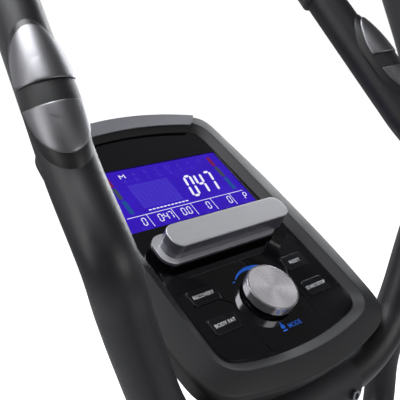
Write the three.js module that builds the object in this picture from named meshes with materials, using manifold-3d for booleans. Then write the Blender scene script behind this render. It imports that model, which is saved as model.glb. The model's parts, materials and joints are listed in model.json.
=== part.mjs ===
// Elliptical trainer: rear-driven, with a console, a fixed U-shaped handlebar with pulse plates,
// and two moving handles. Millimetres, +X to the user's right, +Y forward, +Z up, floor at Z = 0.
import * as THREE from 'three';
import { mergeVertices } from 'three/addons/utils/BufferGeometryUtils.js';
import Module from 'manifold-3d';

const wasm = await Module();
wasm.setup();

// ---------------------------------------------------------------- driving dimensions

const GAP = 0.3;                       // clearance between pieces that touch
const FLOOR_SHIFT = 524;               // moves the trainer forward so that its box is centred on Y = 0

// console: u runs right, v up the slope, w out of the panel; w = 0 is the faceplate's front
const PANEL_TOP = [0, 0, 1430];
const PANEL_SLOPE = THREE.MathUtils.degToRad(31.9);
const BEZEL = { top: 12, topDrop: 10, topHalf: 88, shoulderHalf: 108, shoulder: -18,
  midHalf: 115.5, mid: -105, wideHalf: 118, wide: -205, lowHalf: 115, low: -270,
  bottomHalf: 78, bottomRise: 9, bottom: -310.5 };
const RECESS = { top: -16, topDrop: 6, topHalf: 68, shoulderHalf: 79.5, shoulder: -38,
  midHalf: 83.5, mid: -140, wideHalf: 85, wide: -223, lowHalf: 85, low: -263,
  bottomHalf: 62, bottomRise: 6, bottom: -283 };
const EDGE_W = 0;                      // outer edge of the bezel
const RIM_W = 6;                       // crest of the bezel
const CHAMFER = 9.5;                   // width of the slope from the crest down to the faceplate
const BEZEL_BACK_W = -18;
const SHELL_BACK_W = -46;
const SHELL_WALL = 3;
const STRIP = { top: 7, topDrop: 11.8, topHalf: 86.4, low: -12.3, lowDrop: 7, lowHalf: 70,
  gap: 1, highW: 7.6, lowW: 8.2 };
const PLATE_THICK = 3;
const LCD = { half: 77.7, top: -56.6, bottom: -130 };
const LEDGE = { half: 71, top: -150, bottom: -174.5, height: 26.5, flange: 9.8, lip: 4.5,
  flangeLeft: -77.5, flangeRight: 60 };
const KNOB = { v: -230.7, radius: 24.15, baseRadius: 20.5, bottom: 2.6, skirt: 4, height: 12.9 };
const SHAFT_RADIUS = 3;
const BUTTON = { u: 57.7, width: 29, height: 16, travel: 1 };
const BUTTON_ROWS = { upper: -209.1, lower: -239.2 };

// fixed handlebar, right half
const BAR_RADIUS = 18.35;
const BAR_WALL = 2.5;
const BAR_CENTRE = [0, -236, 1223];
const ELBOW = [193, -241, 1400];
const LEG_BASE = [195, -239, 1400];    // the straight upper leg's line starts here
const UPPER_LEG = new THREE.Vector3(-0.1, 0.644, 0.758).normalize();
const UPPER_LEG_LENGTH = 330;
const PULSE = { centre: 113, halfLength: 68, radius: 19.4, offset: 7.5, turn: THREE.MathUtils.degToRad(13),
  plateThick: 1.3, plateHalf: 17.9, upper: [3, 50], lower: [-46, -13] };

// mast and base
const POST_TOP = [0, -228, 1200];
const POST_FOOT = [0, 20, 100];
const POST_RADIUS = 34;
const STABILISER = { radius: 25, height: 38, halfLength: 232, frontY: 95, rearY: -1345 };
const CAP = { length: 60, width: 72, height: 70 };
const WHEEL = { x: 150, forward: 52, height: 34, radius: 27, halfWidth: 10 };
const BEAM = { width: 60, bottom: 64, top: 104, wall: 2.5 };
const CLAMP = { halfWidth: 58, ringRadius: 23.6, sleeveBelow: 42, sleeveAbove: 12,
  neckHalf: 30, neckV: [-278, -212], neckBottomW: -100 };
const BOOT = { halfWidth: 52, behind: 105, ahead: 62, corner: 34, shoulder: 122, top: 185, step: 8 };

// drive
const CRANK_RADIUS = 165;
const CRANK_HEIGHT = 290;
const PIVOT_HEIGHT = 847;
const LINK_LENGTH = 950;
const PULLEY_RADIUS = 150;
const SMALL_PULLEY_RADIUS = 22;
const FLYWHEEL = { radius: 112, forward: 300, height: 242 };
const DISC_RADIUS = 188;
const HOUSING = { half: 62, wall: 3, edge: 14, rearRadius: 215, frontRadius: 148 };
const REAR_FRAME = { cheekX: 48, cheekHalf: 4, behind: 60, ahead: 35, rise: 5 };
const JACK = { forward: 70, height: 160, length: 12 };
const PULLEY_X = [20, 32];
const PIN_RADIUS = 8;
const AXLE_RADIUS = 11;
const PEDAL = { forward: 500, halfLength: 190, inner: 84, outer: 224, floor: 8, rim: 34 };

// sideways places of the moving pieces, right side
const DISC_X = [68, 76];
const CRANK_X = [80, 98];
const LINK_X = [125, 155];
const SWING_X = [178, 222];

// right moving handle's centreline from the pivot, with the arm upright
const HANDLE = [
  [200, 17, 82], [207, 20, 108], [232, 34, 150], [262, 52, 184], [280, 69, 214], [285, 85, 262],
  [288, 93, 330], [290, 98, 400], [290, 108, 470], [287, 128, 540], [281, 170, 616],
  [279, 215, 673], [275, 273, 741],
];
const HANDLE_RADIUS = 19;
const HANDLE_CORE_RADIUS = 15;         // the same tube where the foam grip covers it
const GRIP_RADIUS = 19.6;
const HANDLE_GRIP_FROM = 8;            // the grip starts at this point of the centreline

const TUBE_ARC = 5;                    // a bent tube's section has twice as many sides

// ---------------------------------------------------------------- values that follow

const postSlope = (POST_TOP[1] - POST_FOOT[1]) / (POST_TOP[2] - POST_FOOT[2]);
const PIVOT_Y = POST_FOOT[1] + postSlope * (PIVOT_HEIGHT - POST_FOOT[2]);
const LEVER_DROP = PIVOT_HEIGHT - CRANK_HEIGHT;
const LEVER = Math.hypot(LEVER_DROP, CRANK_RADIUS);
const SWING = Math.atan2(CRANK_RADIUS, LEVER_DROP);
const CRANK_Y = PIVOT_Y - LINK_LENGTH;
const FLYWHEEL_Y = CRANK_Y + FLYWHEEL.forward;
const SIDES = { left: -1, right: 1 };

const X_AXIS = new THREE.Vector3(1, 0, 0);
const Y_AXIS = new THREE.Vector3(0, 1, 0);
const Z_AXIS = new THREE.Vector3(0, 0, 1);

// ---------------------------------------------------------------- finishes

function finish(colour, roughness, metalness) {
  return new THREE.MeshStandardMaterial({ color: colour, roughness, metalness });
}

const FINISH = {
  frame: finish(0x1c1c20, 0.45, 0.3),
  shell: finish(0x202022, 0.6, 0),
  bezel: finish(0x29292b, 0.5, 0),
  gloss: finish(0x08080a, 0.08, 0),
  screen: finish(0x3414d2, 0.2, 0),
  accent: finish(0x66666b, 0.45, 0.1),
  silver: finish(0xb9b9bc, 0.35, 0.8),
  knob: finish(0xc4c0c4, 0.3, 0.9),
  button: finish(0x121214, 0.5, 0),
  grip: finish(0x2a2a30, 0.8, 0),
  plate: finish(0xa8a8a8, 0.35, 0.9),
  steel: finish(0x8d8f92, 0.35, 0.9),
  iron: finish(0x4a4c50, 0.5, 0.8),
  rubber: finish(0x18181a, 0.85, 0),
};

// ---------------------------------------------------------------- shape helpers

function toSolid(geometry) {
  const bare = geometry.clone();
  bare.deleteAttribute('normal');
  bare.deleteAttribute('uv');
  const merged = mergeVertices(bare, 1e-4);
  return new wasm.Manifold(new wasm.Mesh({
    numProp: 3,
    vertProperties: new Float32Array(merged.attributes.position.array),
    triVerts: new Uint32Array(merged.index.array),
  }));
}

function toGeometry(solid) {
  const mesh = solid.getMesh();
  const geometry = new THREE.BufferGeometry();
  geometry.setAttribute('position', new THREE.BufferAttribute(mesh.vertProperties, 3));
  geometry.setIndex(new THREE.BufferAttribute(mesh.triVerts, 1));
  return geometry;
}

function cut(geometry, ...tools) {
  return toGeometry(tools.reduce((rest, tool) => rest.subtract(toSolid(tool)), toSolid(geometry)));
}

function join(geometry, ...others) {
  return toGeometry(others.reduce((sum, other) => sum.add(toSolid(other)), toSolid(geometry)));
}

function common(geometry, other) {
  return toGeometry(toSolid(geometry).intersect(toSolid(other)));
}

function block(x, y, z) {
  const geometry = new THREE.BoxGeometry(x[1] - x[0], y[1] - y[0], z[1] - z[0]);
  return geometry.translate((x[0] + x[1]) / 2, (y[0] + y[1]) / 2, (z[0] + z[1]) / 2);
}

// a round bar between two points
function rod(from, to, radius, sides = 16) {
  const start = new THREE.Vector3(...from);
  const end = new THREE.Vector3(...to);
  const along = end.clone().sub(start);
  const turn = new THREE.Quaternion().setFromUnitVectors(Y_AXIS, along.clone().normalize());
  const middle = start.add(end).multiplyScalar(0.5);
  return new THREE.CylinderGeometry(radius, radius, along.length(), sides)
    .applyQuaternion(turn)
    .translate(middle.x, middle.y, middle.z);
}

// a lathe profile of [radius, x] pairs turned about the X axis
function turnedX(profile, sides = 20) {
  const points = profile.map(([radius, x]) => new THREE.Vector2(radius, x));
  return new THREE.LatheGeometry(points, sides).rotateZ(-Math.PI / 2);
}

// a lathe profile of [radius, z] pairs turned about the Z axis
function turnedZ(profile, sides = 24) {
  const points = profile.map(([radius, z]) => new THREE.Vector2(radius, z));
  return new THREE.LatheGeometry(points, sides).rotateX(Math.PI / 2);
}

// a shape drawn in the YZ plane, extruded from one x to another; arc sets how finely arcs are cut
function plateX(shape, x0, x1, { bevel = 0, bevelSegments = 1, arc = 3 } = {}) {
  const geometry = new THREE.ExtrudeGeometry(shape, {
    depth: x1 - x0 - 2 * bevel, steps: 1, curveSegments: arc, bevelEnabled: bevel > 0,
    bevelThickness: bevel, bevelSize: bevel, bevelOffset: -bevel, bevelSegments });
  geometry.translate(0, 0, bevel);
  geometry.applyMatrix4(new THREE.Matrix4().makeBasis(Y_AXIS, Z_AXIS, X_AXIS));
  return geometry.translate(x0, 0, 0);
}

// a shape drawn in the XY plane, extruded from one z to another
function plateZ(shape, z0, z1, curveSegments = 3) {
  return new THREE.ExtrudeGeometry(shape, { depth: z1 - z0, steps: 1, curveSegments, bevelEnabled: false })
    .translate(0, 0, z0);
}

function roundedRectangle(x0, x1, y0, y1, radius) {
  const shape = new THREE.Shape();
  shape.moveTo(x0 + radius, y0);
  shape.lineTo(x1 - radius, y0);
  shape.absarc(x1 - radius, y0 + radius, radius, -Math.PI / 2, 0);
  shape.absarc(x1 - radius, y1 - radius, radius, 0, Math.PI / 2);
  shape.absarc(x0 + radius, y1 - radius, radius, Math.PI / 2, Math.PI);
  shape.absarc(x0 + radius, y0 + radius, radius, Math.PI, Math.PI * 1.5);
  return shape;
}

function circle(x, y, radius) {
  const shape = new THREE.Shape();
  shape.absarc(x, y, radius, 0, Math.PI * 2);
  return shape;
}

// two circles and the straight sides that touch both, as an outline
function belted(c0, r0, c1, r1) {
  const along = Math.atan2(c1[1] - c0[1], c1[0] - c0[0]);
  const lean = Math.acos((r0 - r1) / Math.hypot(c1[0] - c0[0], c1[1] - c0[1]));
  const shape = new THREE.Shape();
  shape.absarc(c0[0], c0[1], r0, along + lean, along - lean + Math.PI * 2);
  shape.absarc(c1[0], c1[1], r1, along - lean, along + lean);
  return shape;
}

// a round tube along a smooth curve through the points, open at both ends
function bentTube(points, radius, wall, steps) {
  const ring = new THREE.Shape();
  ring.absarc(0, 0, radius, 0, Math.PI * 2);
  const bore = new THREE.Path();
  bore.absarc(0, 0, radius - wall, 0, Math.PI * 2, true);
  ring.holes.push(bore);
  const path = new THREE.CatmullRomCurve3(points.map((p) => new THREE.Vector3(...p)), false, 'centripetal');
  return new THREE.ExtrudeGeometry(ring, {
    steps, curveSegments: TUBE_ARC, extrudePath: path, bevelEnabled: false });
}

// a skin over rings of points, closed on itself or capped at its first and last ring
function loft(rings, onItself) {
  const count = rings[0].length;
  const positions = rings.flat().flatMap((p) => [p.x, p.y, p.z]);
  const triangles = [];
  const spans = onItself ? rings.length : rings.length - 1;
  for (let r = 0; r < spans; r += 1) {
    const here = r * count;
    const there = ((r + 1) % rings.length) * count;
    for (let i = 0; i < count; i += 1) {
      const j = (i + 1) % count;
      triangles.push(here + i, here + j, there + j, here + i, there + j, there + i);
    }
  }
  if (!onItself) {
    const caps = [[rings[0], 0, true], [rings.at(-1), (rings.length - 1) * count, false]];
    caps.forEach(([ring, start, flipped]) => {
      const centre = ring.reduce((sum, p) => sum.add(p), new THREE.Vector3()).divideScalar(count);
      const hub = positions.length / 3;
      positions.push(centre.x, centre.y, centre.z);
      for (let i = 0; i < count; i += 1) {
        const j = (i + 1) % count;
        triangles.push(hub, start + (flipped ? j : i), start + (flipped ? i : j));
      }
    });
  }
  const geometry = new THREE.BufferGeometry();
  geometry.setAttribute('position', new THREE.Float32BufferAttribute(positions, 3));
  geometry.setIndex(triangles);
  return geometry;
}

// ---------------------------------------------------------------- scene graph helpers

const trainer = new THREE.Group();
trainer.position.y = FLOOR_SHIFT;

const panel = new THREE.Group();
panel.position.set(...PANEL_TOP);
panel.rotation.x = PANEL_SLOPE;
trainer.add(panel);

function place(parent, name, geometry, material) {
  const mesh = new THREE.Mesh(geometry, material);
  mesh.name = name;
  parent.add(mesh);
  return mesh;
}

// ---------------------------------------------------------------- console

// the right half of a console outline, from bottom centre to top centre
function halfOutline(d, grow) {
  const shape = new THREE.Shape();
  const bottomCorner = d.bottom - grow + d.bottomRise;
  const cornerSlope = 2 * d.bottomRise / d.bottomHalf;
  const topCorner = d.top + grow - d.topDrop;
  shape.moveTo(0, d.bottom - grow);
  shape.quadraticCurveTo(d.bottomHalf / 2, d.bottom - grow, d.bottomHalf, bottomCorner);
  shape.quadraticCurveTo(d.lowHalf + grow - 2,
    bottomCorner + cornerSlope * (d.lowHalf + grow - d.bottomHalf) * 0.7, d.lowHalf + grow, d.low);
  shape.splineThru([
    new THREE.Vector2(d.wideHalf + grow, d.wide),
    new THREE.Vector2(d.midHalf + grow, d.mid),
    new THREE.Vector2(d.shoulderHalf + grow, d.shoulder)]);
  shape.quadraticCurveTo(d.shoulderHalf + grow - 2, topCorner - 1, d.topHalf, topCorner);
  shape.quadraticCurveTo(d.topHalf / 2, d.top + grow, 0, d.top + grow);
  return shape.getPoints(3);
}

function outline(d, grow) {
  const right = halfOutline(d, grow);
  const left = right.slice(1, -1).reverse().map((p) => new THREE.Vector2(-p.x, p.y));
  return right.concat(left);
}

function ringAt(d, grow, w) {
  return outline(d, grow).map((p) => new THREE.Vector3(p.x, p.y, w));
}

function buildBezel() {
  return loft([
    ringAt(BEZEL, -2, BEZEL_BACK_W),
    ringAt(BEZEL, 0, EDGE_W - 3),
    ringAt(BEZEL, -1.5, EDGE_W),
    ringAt(RECESS, CHAMFER, RIM_W),
    ringAt(RECESS, 0, 0.4),
    ringAt(RECESS, 0, -PLATE_THICK - 1),
    ringAt(BEZEL, -9, -PLATE_THICK - 9),
    ringAt(BEZEL, -6, BEZEL_BACK_W),
  ], true);
}

// the console outline with its lower end pulled up, to clear the handlebar behind it
function raised(lift) {
  return { ...BEZEL, bottom: BEZEL.bottom + lift, low: BEZEL.low + lift, wide: BEZEL.wide + lift * 0.6 };
}

function buildRearShell() {
  const top = BEZEL_BACK_W - GAP;
  const wall = SHELL_WALL;
  return loft([
    ringAt(raised(50), -38, SHELL_BACK_W),
    ringAt(raised(38), -19, SHELL_BACK_W + 9),
    ringAt(raised(22), -6, top - 6),
    ringAt(BEZEL, -2.5, top),
    ringAt(BEZEL, -2.5 - wall, top),
    ringAt(raised(22), -6 - wall, top - 6 + wall),
    ringAt(raised(38), -19 - wall, SHELL_BACK_W + 9 + wall),
    ringAt(raised(50), -38 - wall, SHELL_BACK_W + wall),
  ], false);
}

function buttonShape(u, v, margin) {
  const halfWidth = BUTTON.width / 2 + margin;
  const halfHeight = BUTTON.height / 2 + margin;
  return roundedRectangle(u - halfWidth, u + halfWidth, v - halfHeight, v + halfHeight, 3);
}

const BUTTONS = {
  recovery_button: [-BUTTON.u, BUTTON_ROWS.upper],
  reset_button: [BUTTON.u, BUTTON_ROWS.upper],
  body_fat_button: [-BUTTON.u, BUTTON_ROWS.lower],
  start_stop_button: [BUTTON.u, BUTTON_ROWS.lower],
};

function buildFaceplate() {
  const shape = new THREE.Shape(outline(RECESS, -GAP - 0.2));
  shape.holes.push(roundedRectangle(-LCD.half - 0.8, LCD.half + 0.8, LCD.bottom - 0.8, LCD.top + 0.8, 2));
  shape.holes.push(circle(0, KNOB.v, 4.2));
  Object.values(BUTTONS).forEach(([u, v]) => shape.holes.push(buttonShape(u, v, 0.4)));
  return plateZ(shape, -PLATE_THICK, 0);
}

// a wedge over the top of the bezel, flat on top and overhanging the slope inside the crest
function buildAccentStrip() {
  const stations = 14;
  const rings = [];
  for (let i = 0; i <= stations; i += 1) {
    const s = 1 - 2 * i / stations;
    const highU = s * STRIP.topHalf;
    const lowU = s * STRIP.lowHalf;
    const crestU = s * (STRIP.topHalf + STRIP.lowHalf) / 2;
    const highV = STRIP.top - STRIP.topDrop * s * s;
    const lowV = STRIP.low - STRIP.lowDrop * s * s;
    const crestV = RECESS.top + CHAMFER - RECESS.topDrop * (crestU / RECESS.topHalf) ** 2;
    const edgeV = BEZEL.top - 1.5 - BEZEL.topDrop * (highU / BEZEL.topHalf) ** 2;
    const highW = EDGE_W + (RIM_W - EDGE_W) * (edgeV - highV) / (edgeV - crestV);
    rings.push([
      new THREE.Vector3(lowU, lowV, RIM_W + STRIP.gap),
      new THREE.Vector3(lowU, lowV, STRIP.lowW),
      new THREE.Vector3(highU, highV, STRIP.highW),
      new THREE.Vector3(highU, highV, highW + STRIP.gap),
      new THREE.Vector3(crestU, crestV, RIM_W + STRIP.gap),
    ]);
  }
  return loft(rings, false);
}

// a bar on a flange that starts before it and ends short of it; a narrower plinth carries both
function buildLedge() {
  const { half, bottom, top, height, flange, lip, flangeLeft, flangeRight } = LEDGE;
  const layer = (u0, u1, grow, w0, w1) => plateZ(
    roundedRectangle(u0, u1, bottom - grow, top + grow, 10), w0, w1);
  return join(layer(-half, half, 0, flange - 1, height), layer(flangeLeft, flangeRight, lip, flange - 3,
    flange),
    layer(-half + 3, flangeRight - 8, -1, GAP, flange - 2));
}

place(panel, 'console_rear_shell', buildRearShell(), FINISH.shell);
place(panel, 'console_bezel', buildBezel(), FINISH.bezel);
place(panel, 'console_faceplate', buildFaceplate(), FINISH.gloss);
place(panel, 'accent_strip', buildAccentStrip(), FINISH.accent);
place(panel, 'lcd_module', block([-LCD.half, LCD.half], [LCD.bottom, LCD.top], [-9, -0.6]), FINISH.screen);
place(panel, 'tablet_ledge', buildLedge(), FINISH.silver);

Object.entries(BUTTONS).forEach(([name, [u, v]]) => {
  place(panel, name, plateZ(buttonShape(u, v, 0), -4, 1.2), FINISH.button);
});

const knobCentre = new THREE.Group();
knobCentre.position.set(0, KNOB.v, 0);
panel.add(knobCentre);
place(knobCentre, 'encoder_shaft', turnedZ([[0, -10], [SHAFT_RADIUS, -10], [SHAFT_RADIUS, 6.2], [0,
  6.2]], 14),
  FINISH.steel);
place(knobCentre, 'mode_knob', turnedZ([
  [0, 6.6], [SHAFT_RADIUS + 0.4, 6.6], [SHAFT_RADIUS + 0.4, KNOB.bottom], [KNOB.baseRadius, KNOB.bottom],
  [KNOB.baseRadius, KNOB.skirt], [KNOB.radius, KNOB.skirt], [KNOB.radius, KNOB.height - 1.2],
  [KNOB.radius - 1.2, KNOB.height], [0, KNOB.height]], 24), FINISH.knob);

// ---------------------------------------------------------------- fixed handlebar

const upperLegEnd = new THREE.Vector3(...LEG_BASE).addScaledVector(UPPER_LEG, UPPER_LEG_LENGTH);

function legPoint(distance) {
  return new THREE.Vector3(...LEG_BASE).addScaledVector(UPPER_LEG, distance);
}

function mirrored(points, side) {
  return points.map(([x, y, z]) => [side * x, y, z]);
}

const BAR_RIGHT = [
  [30, -236, 1223], [60, -236, 1224], [91, -236, 1229], [116, -235.5, 1240], [137, -235, 1258],
  [152, -235, 1283], [168, -236, 1325], [183, -238.5, 1368], ELBOW,
  legPoint(60).toArray(), legPoint(110).toArray(), legPoint(180).toArray(), upperLegEnd.toArray(),
];

const barPoints = [...mirrored(BAR_RIGHT, -1).reverse(), BAR_CENTRE, ...BAR_RIGHT];
place(trainer, 'u_handlebar', bentTube(barPoints, BAR_RADIUS, BAR_WALL, 36), FINISH.frame);

// a frame whose Z axis runs up the upper leg and whose -Y side faces the user, for one side
function legFrame(distance, side) {
  const origin = legPoint(distance);
  origin.x *= side;
  const up = UPPER_LEG.clone();
  up.x *= side;
  const right = new THREE.Vector3().crossVectors(up, Z_AXIS).normalize();
  const forward = new THREE.Vector3().crossVectors(up, right);
  const matrix = new THREE.Matrix4().makeBasis(right, forward, up);
  return matrix.setPosition(origin);
}

// an egg round the tube, leaning out towards the user
function pulseEgg(extra, sides, rows) {
  return new THREE.SphereGeometry(1, sides, rows)
    .rotateX(Math.PI / 2)
    .scale(PULSE.radius + extra, PULSE.radius + extra, PULSE.halfLength + extra)
    .translate(0, -PULSE.offset, 0);
}

function buildPulseHolder() {
  const bore = rod([0, 0, -90], [0, 0, 90], BAR_RADIUS + GAP + 0.35);
  return common(cut(pulseEgg(0, 20, 14), bore), block([-40, 40], [-60, -5], [-90, 90]));
}

function buildPulsePlate(z) {
  const skin = cut(pulseEgg(PULSE.plateThick, 20, 14), pulseEgg(GAP, 20, 14));
  return common(skin, block([-PULSE.plateHalf, PULSE.plateHalf], [-60, -PULSE.offset - 8], z));
}

Object.entries(SIDES).forEach(([side, sign]) => {
  const frame = legFrame(PULSE.centre, sign);
  frame.multiply(new THREE.Matrix4().makeRotationZ(sign * PULSE.turn));
  const holder = place(trainer, `pulse_holder_${side}`, buildPulseHolder(), FINISH.grip);
  const upper = place(trainer, `pulse_plate_upper_${side}`, buildPulsePlate(PULSE.upper), FINISH.plate);
  const lower = place(trainer, `pulse_plate_lower_${side}`, buildPulsePlate(PULSE.lower), FINISH.plate);
  [holder, upper, lower].forEach((mesh) => mesh.applyMatrix4(frame));
  const grip = [205, 245, 285, UPPER_LEG_LENGTH - 1].map((d) => legPoint(d).toArray());
  place(trainer, `fixed_grip_${side}`,
    bentTube(mirrored(grip, sign), BAR_RADIUS + 3.4, 3.4 - GAP - 0.8, 3), FINISH.grip);
});

// ---------------------------------------------------------------- mast, clamp and base

const postAxis = new THREE.Vector3(...POST_TOP).sub(new THREE.Vector3(...POST_FOOT)).normalize();

function onPost(z) {
  return [0, POST_FOOT[1] + postSlope * (z - POST_FOOT[2]), z];
}

function pointPast(point, distance) {
  return new THREE.Vector3(...point).addScaledVector(postAxis, distance).toArray();
}

function buildPost() {
  const tube = cut(rod(onPost(60), POST_TOP, POST_RADIUS, 20),
    rod(onPost(40), pointPast(POST_TOP, 10), POST_RADIUS - 3, 20));
  const pivotHole = rod([-60, PIVOT_Y, PIVOT_HEIGHT], [60, PIVOT_Y, PIVOT_HEIGHT], 20 + GAP + 0.1, 24);
  return cut(tube, block([-80, 80], [-60, 120], [0, BEAM.top + GAP]), pivotHole);
}

function buildClamp() {
  const [, y, z] = BAR_CENTRE;
  const ring = rod([-CLAMP.halfWidth, y, z], [CLAMP.halfWidth, y, z], CLAMP.ringRadius, 18);
  const sleeve = rod(pointPast(POST_TOP, -CLAMP.sleeveBelow), pointPast(POST_TOP, CLAMP.sleeveAbove),
    POST_RADIUS + 6, 18);
  const neck = block([-CLAMP.neckHalf, CLAMP.neckHalf], CLAMP.neckV, [CLAMP.neckBottomW,
    SHELL_BACK_W - GAP])
    .rotateX(PANEL_SLOPE).translate(...PANEL_TOP);
  return cut(join(ring, sleeve, neck),
    rod([-80, y, z + 0.4], [80, y, z + 0.4], BAR_RADIUS + 1.4, 18),
    rod(pointPast(POST_TOP, -60), pointPast(POST_TOP, GAP), POST_RADIUS + 1, 20));
}

function buildBoot() {
  const [rear, front] = [POST_FOOT[1] - BOOT.behind, POST_FOOT[1] + BOOT.ahead];
  const half = BOOT.halfWidth;
  const foot = plateZ(roundedRectangle(-half, half, rear, front, BOOT.corner), BEAM.top + GAP,
    BOOT.shoulder);
  const rise = plateZ(roundedRectangle(-half + BOOT.step, half - BOOT.step, rear + 2.5 * BOOT.step,
    front - 2.5 * BOOT.step, BOOT.corner - 2), BOOT.shoulder - 2, BOOT.top);
  return cut(join(foot, rise), rod(onPost(60), onPost(260), POST_RADIUS + 1, 20));
}

function buildBeam() {
  const half = BEAM.width / 2;
  const y = [STABILISER.rearY - 20, STABILISER.frontY + 20];
  const outer = block([-half, half], y, [BEAM.bottom, BEAM.top]);
  const inner = block([-half + BEAM.wall, half - BEAM.wall], [y[0] - 10, y[1] + 10],
    [BEAM.bottom + BEAM.wall, BEAM.top - BEAM.wall]);
  return cut(outer, inner);
}

function stabiliserTube(y) {
  const { radius, height, halfLength } = STABILISER;
  const tube = rod([-halfLength, y, height], [halfLength, y, height], radius);
  return cut(tube, rod([-halfLength - 10, y, height], [halfLength + 10, y, height], radius - 2.5));
}

// the front tube carries a fork and pin for each transport wheel
function frontStabiliser() {
  const pieces = Object.values(SIDES).flatMap((sign) => [-1, 1].map((ear) => {
    const x = sign * WHEEL.x + ear * (WHEEL.halfWidth + 4);
    return block([x - 2, x + 2], [STABILISER.frontY + 21, STABILISER.frontY + WHEEL.forward + 12],
      [WHEEL.height - 12, WHEEL.height + 12]);
  }));
  const pins = Object.values(SIDES).map((sign) => {
    const y = STABILISER.frontY + WHEEL.forward;
    const reach = WHEEL.halfWidth + 5;
    return rod([sign * WHEEL.x - reach, y, WHEEL.height], [sign * WHEEL.x + reach, y, WHEEL.height], 5, 20);
  });
  return join(stabiliserTube(STABILISER.frontY), ...pieces, ...pins);
}

function buildCap(sign, y) {
  const inner = STABILISER.halfLength - 26;
  const outer = STABILISER.halfLength + CAP.length - 26;
  const profile = roundedRectangle(y - CAP.width / 2, y + CAP.width / 2, 0, CAP.height, 12);
  const body = plateX(profile, inner, outer, { bevel: 5, arc: 2 });
  const socket = rod([inner - 5, y, STABILISER.height], [STABILISER.halfLength + GAP, y, STABILISER.height],
    STABILISER.radius + GAP + 0.2);
  const cap = cut(body, socket);
  return sign > 0 ? cap : cap.rotateZ(Math.PI).translate(0, 2 * y, 0);
}

place(trainer, 'front_post', buildPost(), FINISH.frame);
place(trainer, 'handlebar_clamp', buildClamp(), FINISH.shell);
place(trainer, 'post_boot', buildBoot(), FINISH.shell);
place(trainer, 'main_beam', buildBeam(), FINISH.frame);
place(trainer, 'front_stabiliser', frontStabiliser(), FINISH.frame);
place(trainer, 'rear_stabiliser', stabiliserTube(STABILISER.rearY), FINISH.frame);

Object.entries(SIDES).forEach(([side, sign]) => {
  place(trainer, `front_end_cap_${side}`, buildCap(sign, STABILISER.frontY), FINISH.rubber);
  place(trainer, `rear_end_cap_${side}`, buildCap(sign, STABILISER.rearY), FINISH.rubber);
  const wheel = place(trainer, `transport_wheel_${side}`, turnedX([
    [5.5, -WHEEL.halfWidth], [WHEEL.radius - 3, -WHEEL.halfWidth], [WHEEL.radius, -WHEEL.halfWidth + 3],
    [WHEEL.radius, WHEEL.halfWidth - 3], [WHEEL.radius - 3, WHEEL.halfWidth], [5.5, WHEEL.halfWidth],
    [5.5, -WHEEL.halfWidth]], 16), FINISH.rubber);
  wheel.position.set(sign * WHEEL.x, STABILISER.frontY + WHEEL.forward, WHEEL.height);
});

// ---------------------------------------------------------------- housing and drive

function housingShape(inset) {
  return belted([CRANK_Y, CRANK_HEIGHT], HOUSING.rearRadius - inset,
    [FLYWHEEL_Y, FLYWHEEL.height], HOUSING.frontRadius - inset);
}

function buildHousing(sign) {
  const { half: reach, wall, edge } = HOUSING;
  const outer = plateX(housingShape(0), -edge, reach, { bevel: edge, bevelSegments: 2, arc: 10 });
  const inner = plateX(housingShape(wall), -edge, reach - wall, { bevel: edge - 2, arc: 8 });
  const below = block([-20, 90], [CRANK_Y - 300, FLYWHEEL_Y + 200], [0, BEAM.top + GAP]);
  const otherHalf = block([-20, GAP / 2], [CRANK_Y - 300, FLYWHEEL_Y + 200], [0, 600]);
  const axleHole = rod([40, CRANK_Y, CRANK_HEIGHT], [90, CRANK_Y, CRANK_HEIGHT], 14);
  const jackY = FLYWHEEL_Y + JACK.forward;
  const jack = rod([40, jackY, JACK.height], [90, jackY, JACK.height], 7.5, 14);
  const holes = sign > 0 ? [axleHole, jack] : [axleHole];
  const half = cut(outer, inner, below, otherHalf, ...holes);
  return sign > 0 ? half : half.scale(-1, 1, 1);
}

// mirroring turns a geometry inside out, so its triangles are wound the other way round
function rewound(geometry) {
  const index = geometry.index.array;
  for (let i = 0; i < index.length; i += 3) {
    [index[i], index[i + 1]] = [index[i + 1], index[i]];
  }
  return geometry;
}

function buildRearFrame() {
  const { cheekX, cheekHalf, behind, ahead, rise } = REAR_FRAME;
  const floorZ = BEAM.top + rise;
  const front = FLYWHEEL.forward + ahead;
  const corners = [[-behind, floorZ + 1], [front, floorZ + 1], [front, FLYWHEEL.height + 25],
    [front - 2 * ahead, FLYWHEEL.height + 25], [behind, CRANK_HEIGHT + 32], [-40, CRANK_HEIGHT + 32],
    [-behind, CRANK_HEIGHT + 12]];
  const shape = new THREE.Shape(corners.map(([y, z]) => new THREE.Vector2(CRANK_Y + y, z)));
  const cheeks = [-1, 1].map((sign) => plateX(shape, sign * cheekX - cheekHalf, sign * cheekX + cheekHalf));
  const wide = cheekX + cheekHalf;
  const floor = block([-wide, wide], [CRANK_Y - behind, CRANK_Y + front], [floorZ, floorZ + 5]);
  return cut(join(floor, ...cheeks),
    rod([-70, CRANK_Y, CRANK_HEIGHT], [70, CRANK_Y, CRANK_HEIGHT], 20.4),
    rod([-70, FLYWHEEL_Y, FLYWHEEL.height], [70, FLYWHEEL_Y, FLYWHEEL.height], 6.4));
}

function ringX(y, z, outer, inner, x0, x1, sides = 16) {
  return turnedX([[inner, x0], [outer, x0], [outer, x1], [inner, x1], [inner, x0]], sides).translate(0,
    y, z);
}

function buildBelt() {
  const lift = 0.9;
  const thick = 2;
  const shape = belted([CRANK_Y, CRANK_HEIGHT], PULLEY_RADIUS + lift + thick,
    [FLYWHEEL_Y, FLYWHEEL.height], SMALL_PULLEY_RADIUS + lift + thick);
  shape.holes.push(belted([CRANK_Y, CRANK_HEIGHT], PULLEY_RADIUS + lift,
    [FLYWHEEL_Y, FLYWHEEL.height], SMALL_PULLEY_RADIUS + lift));
  return plateX(shape, PULLEY_X[0] + 1, PULLEY_X[1] - 1, { arc: 10 });
}

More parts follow.
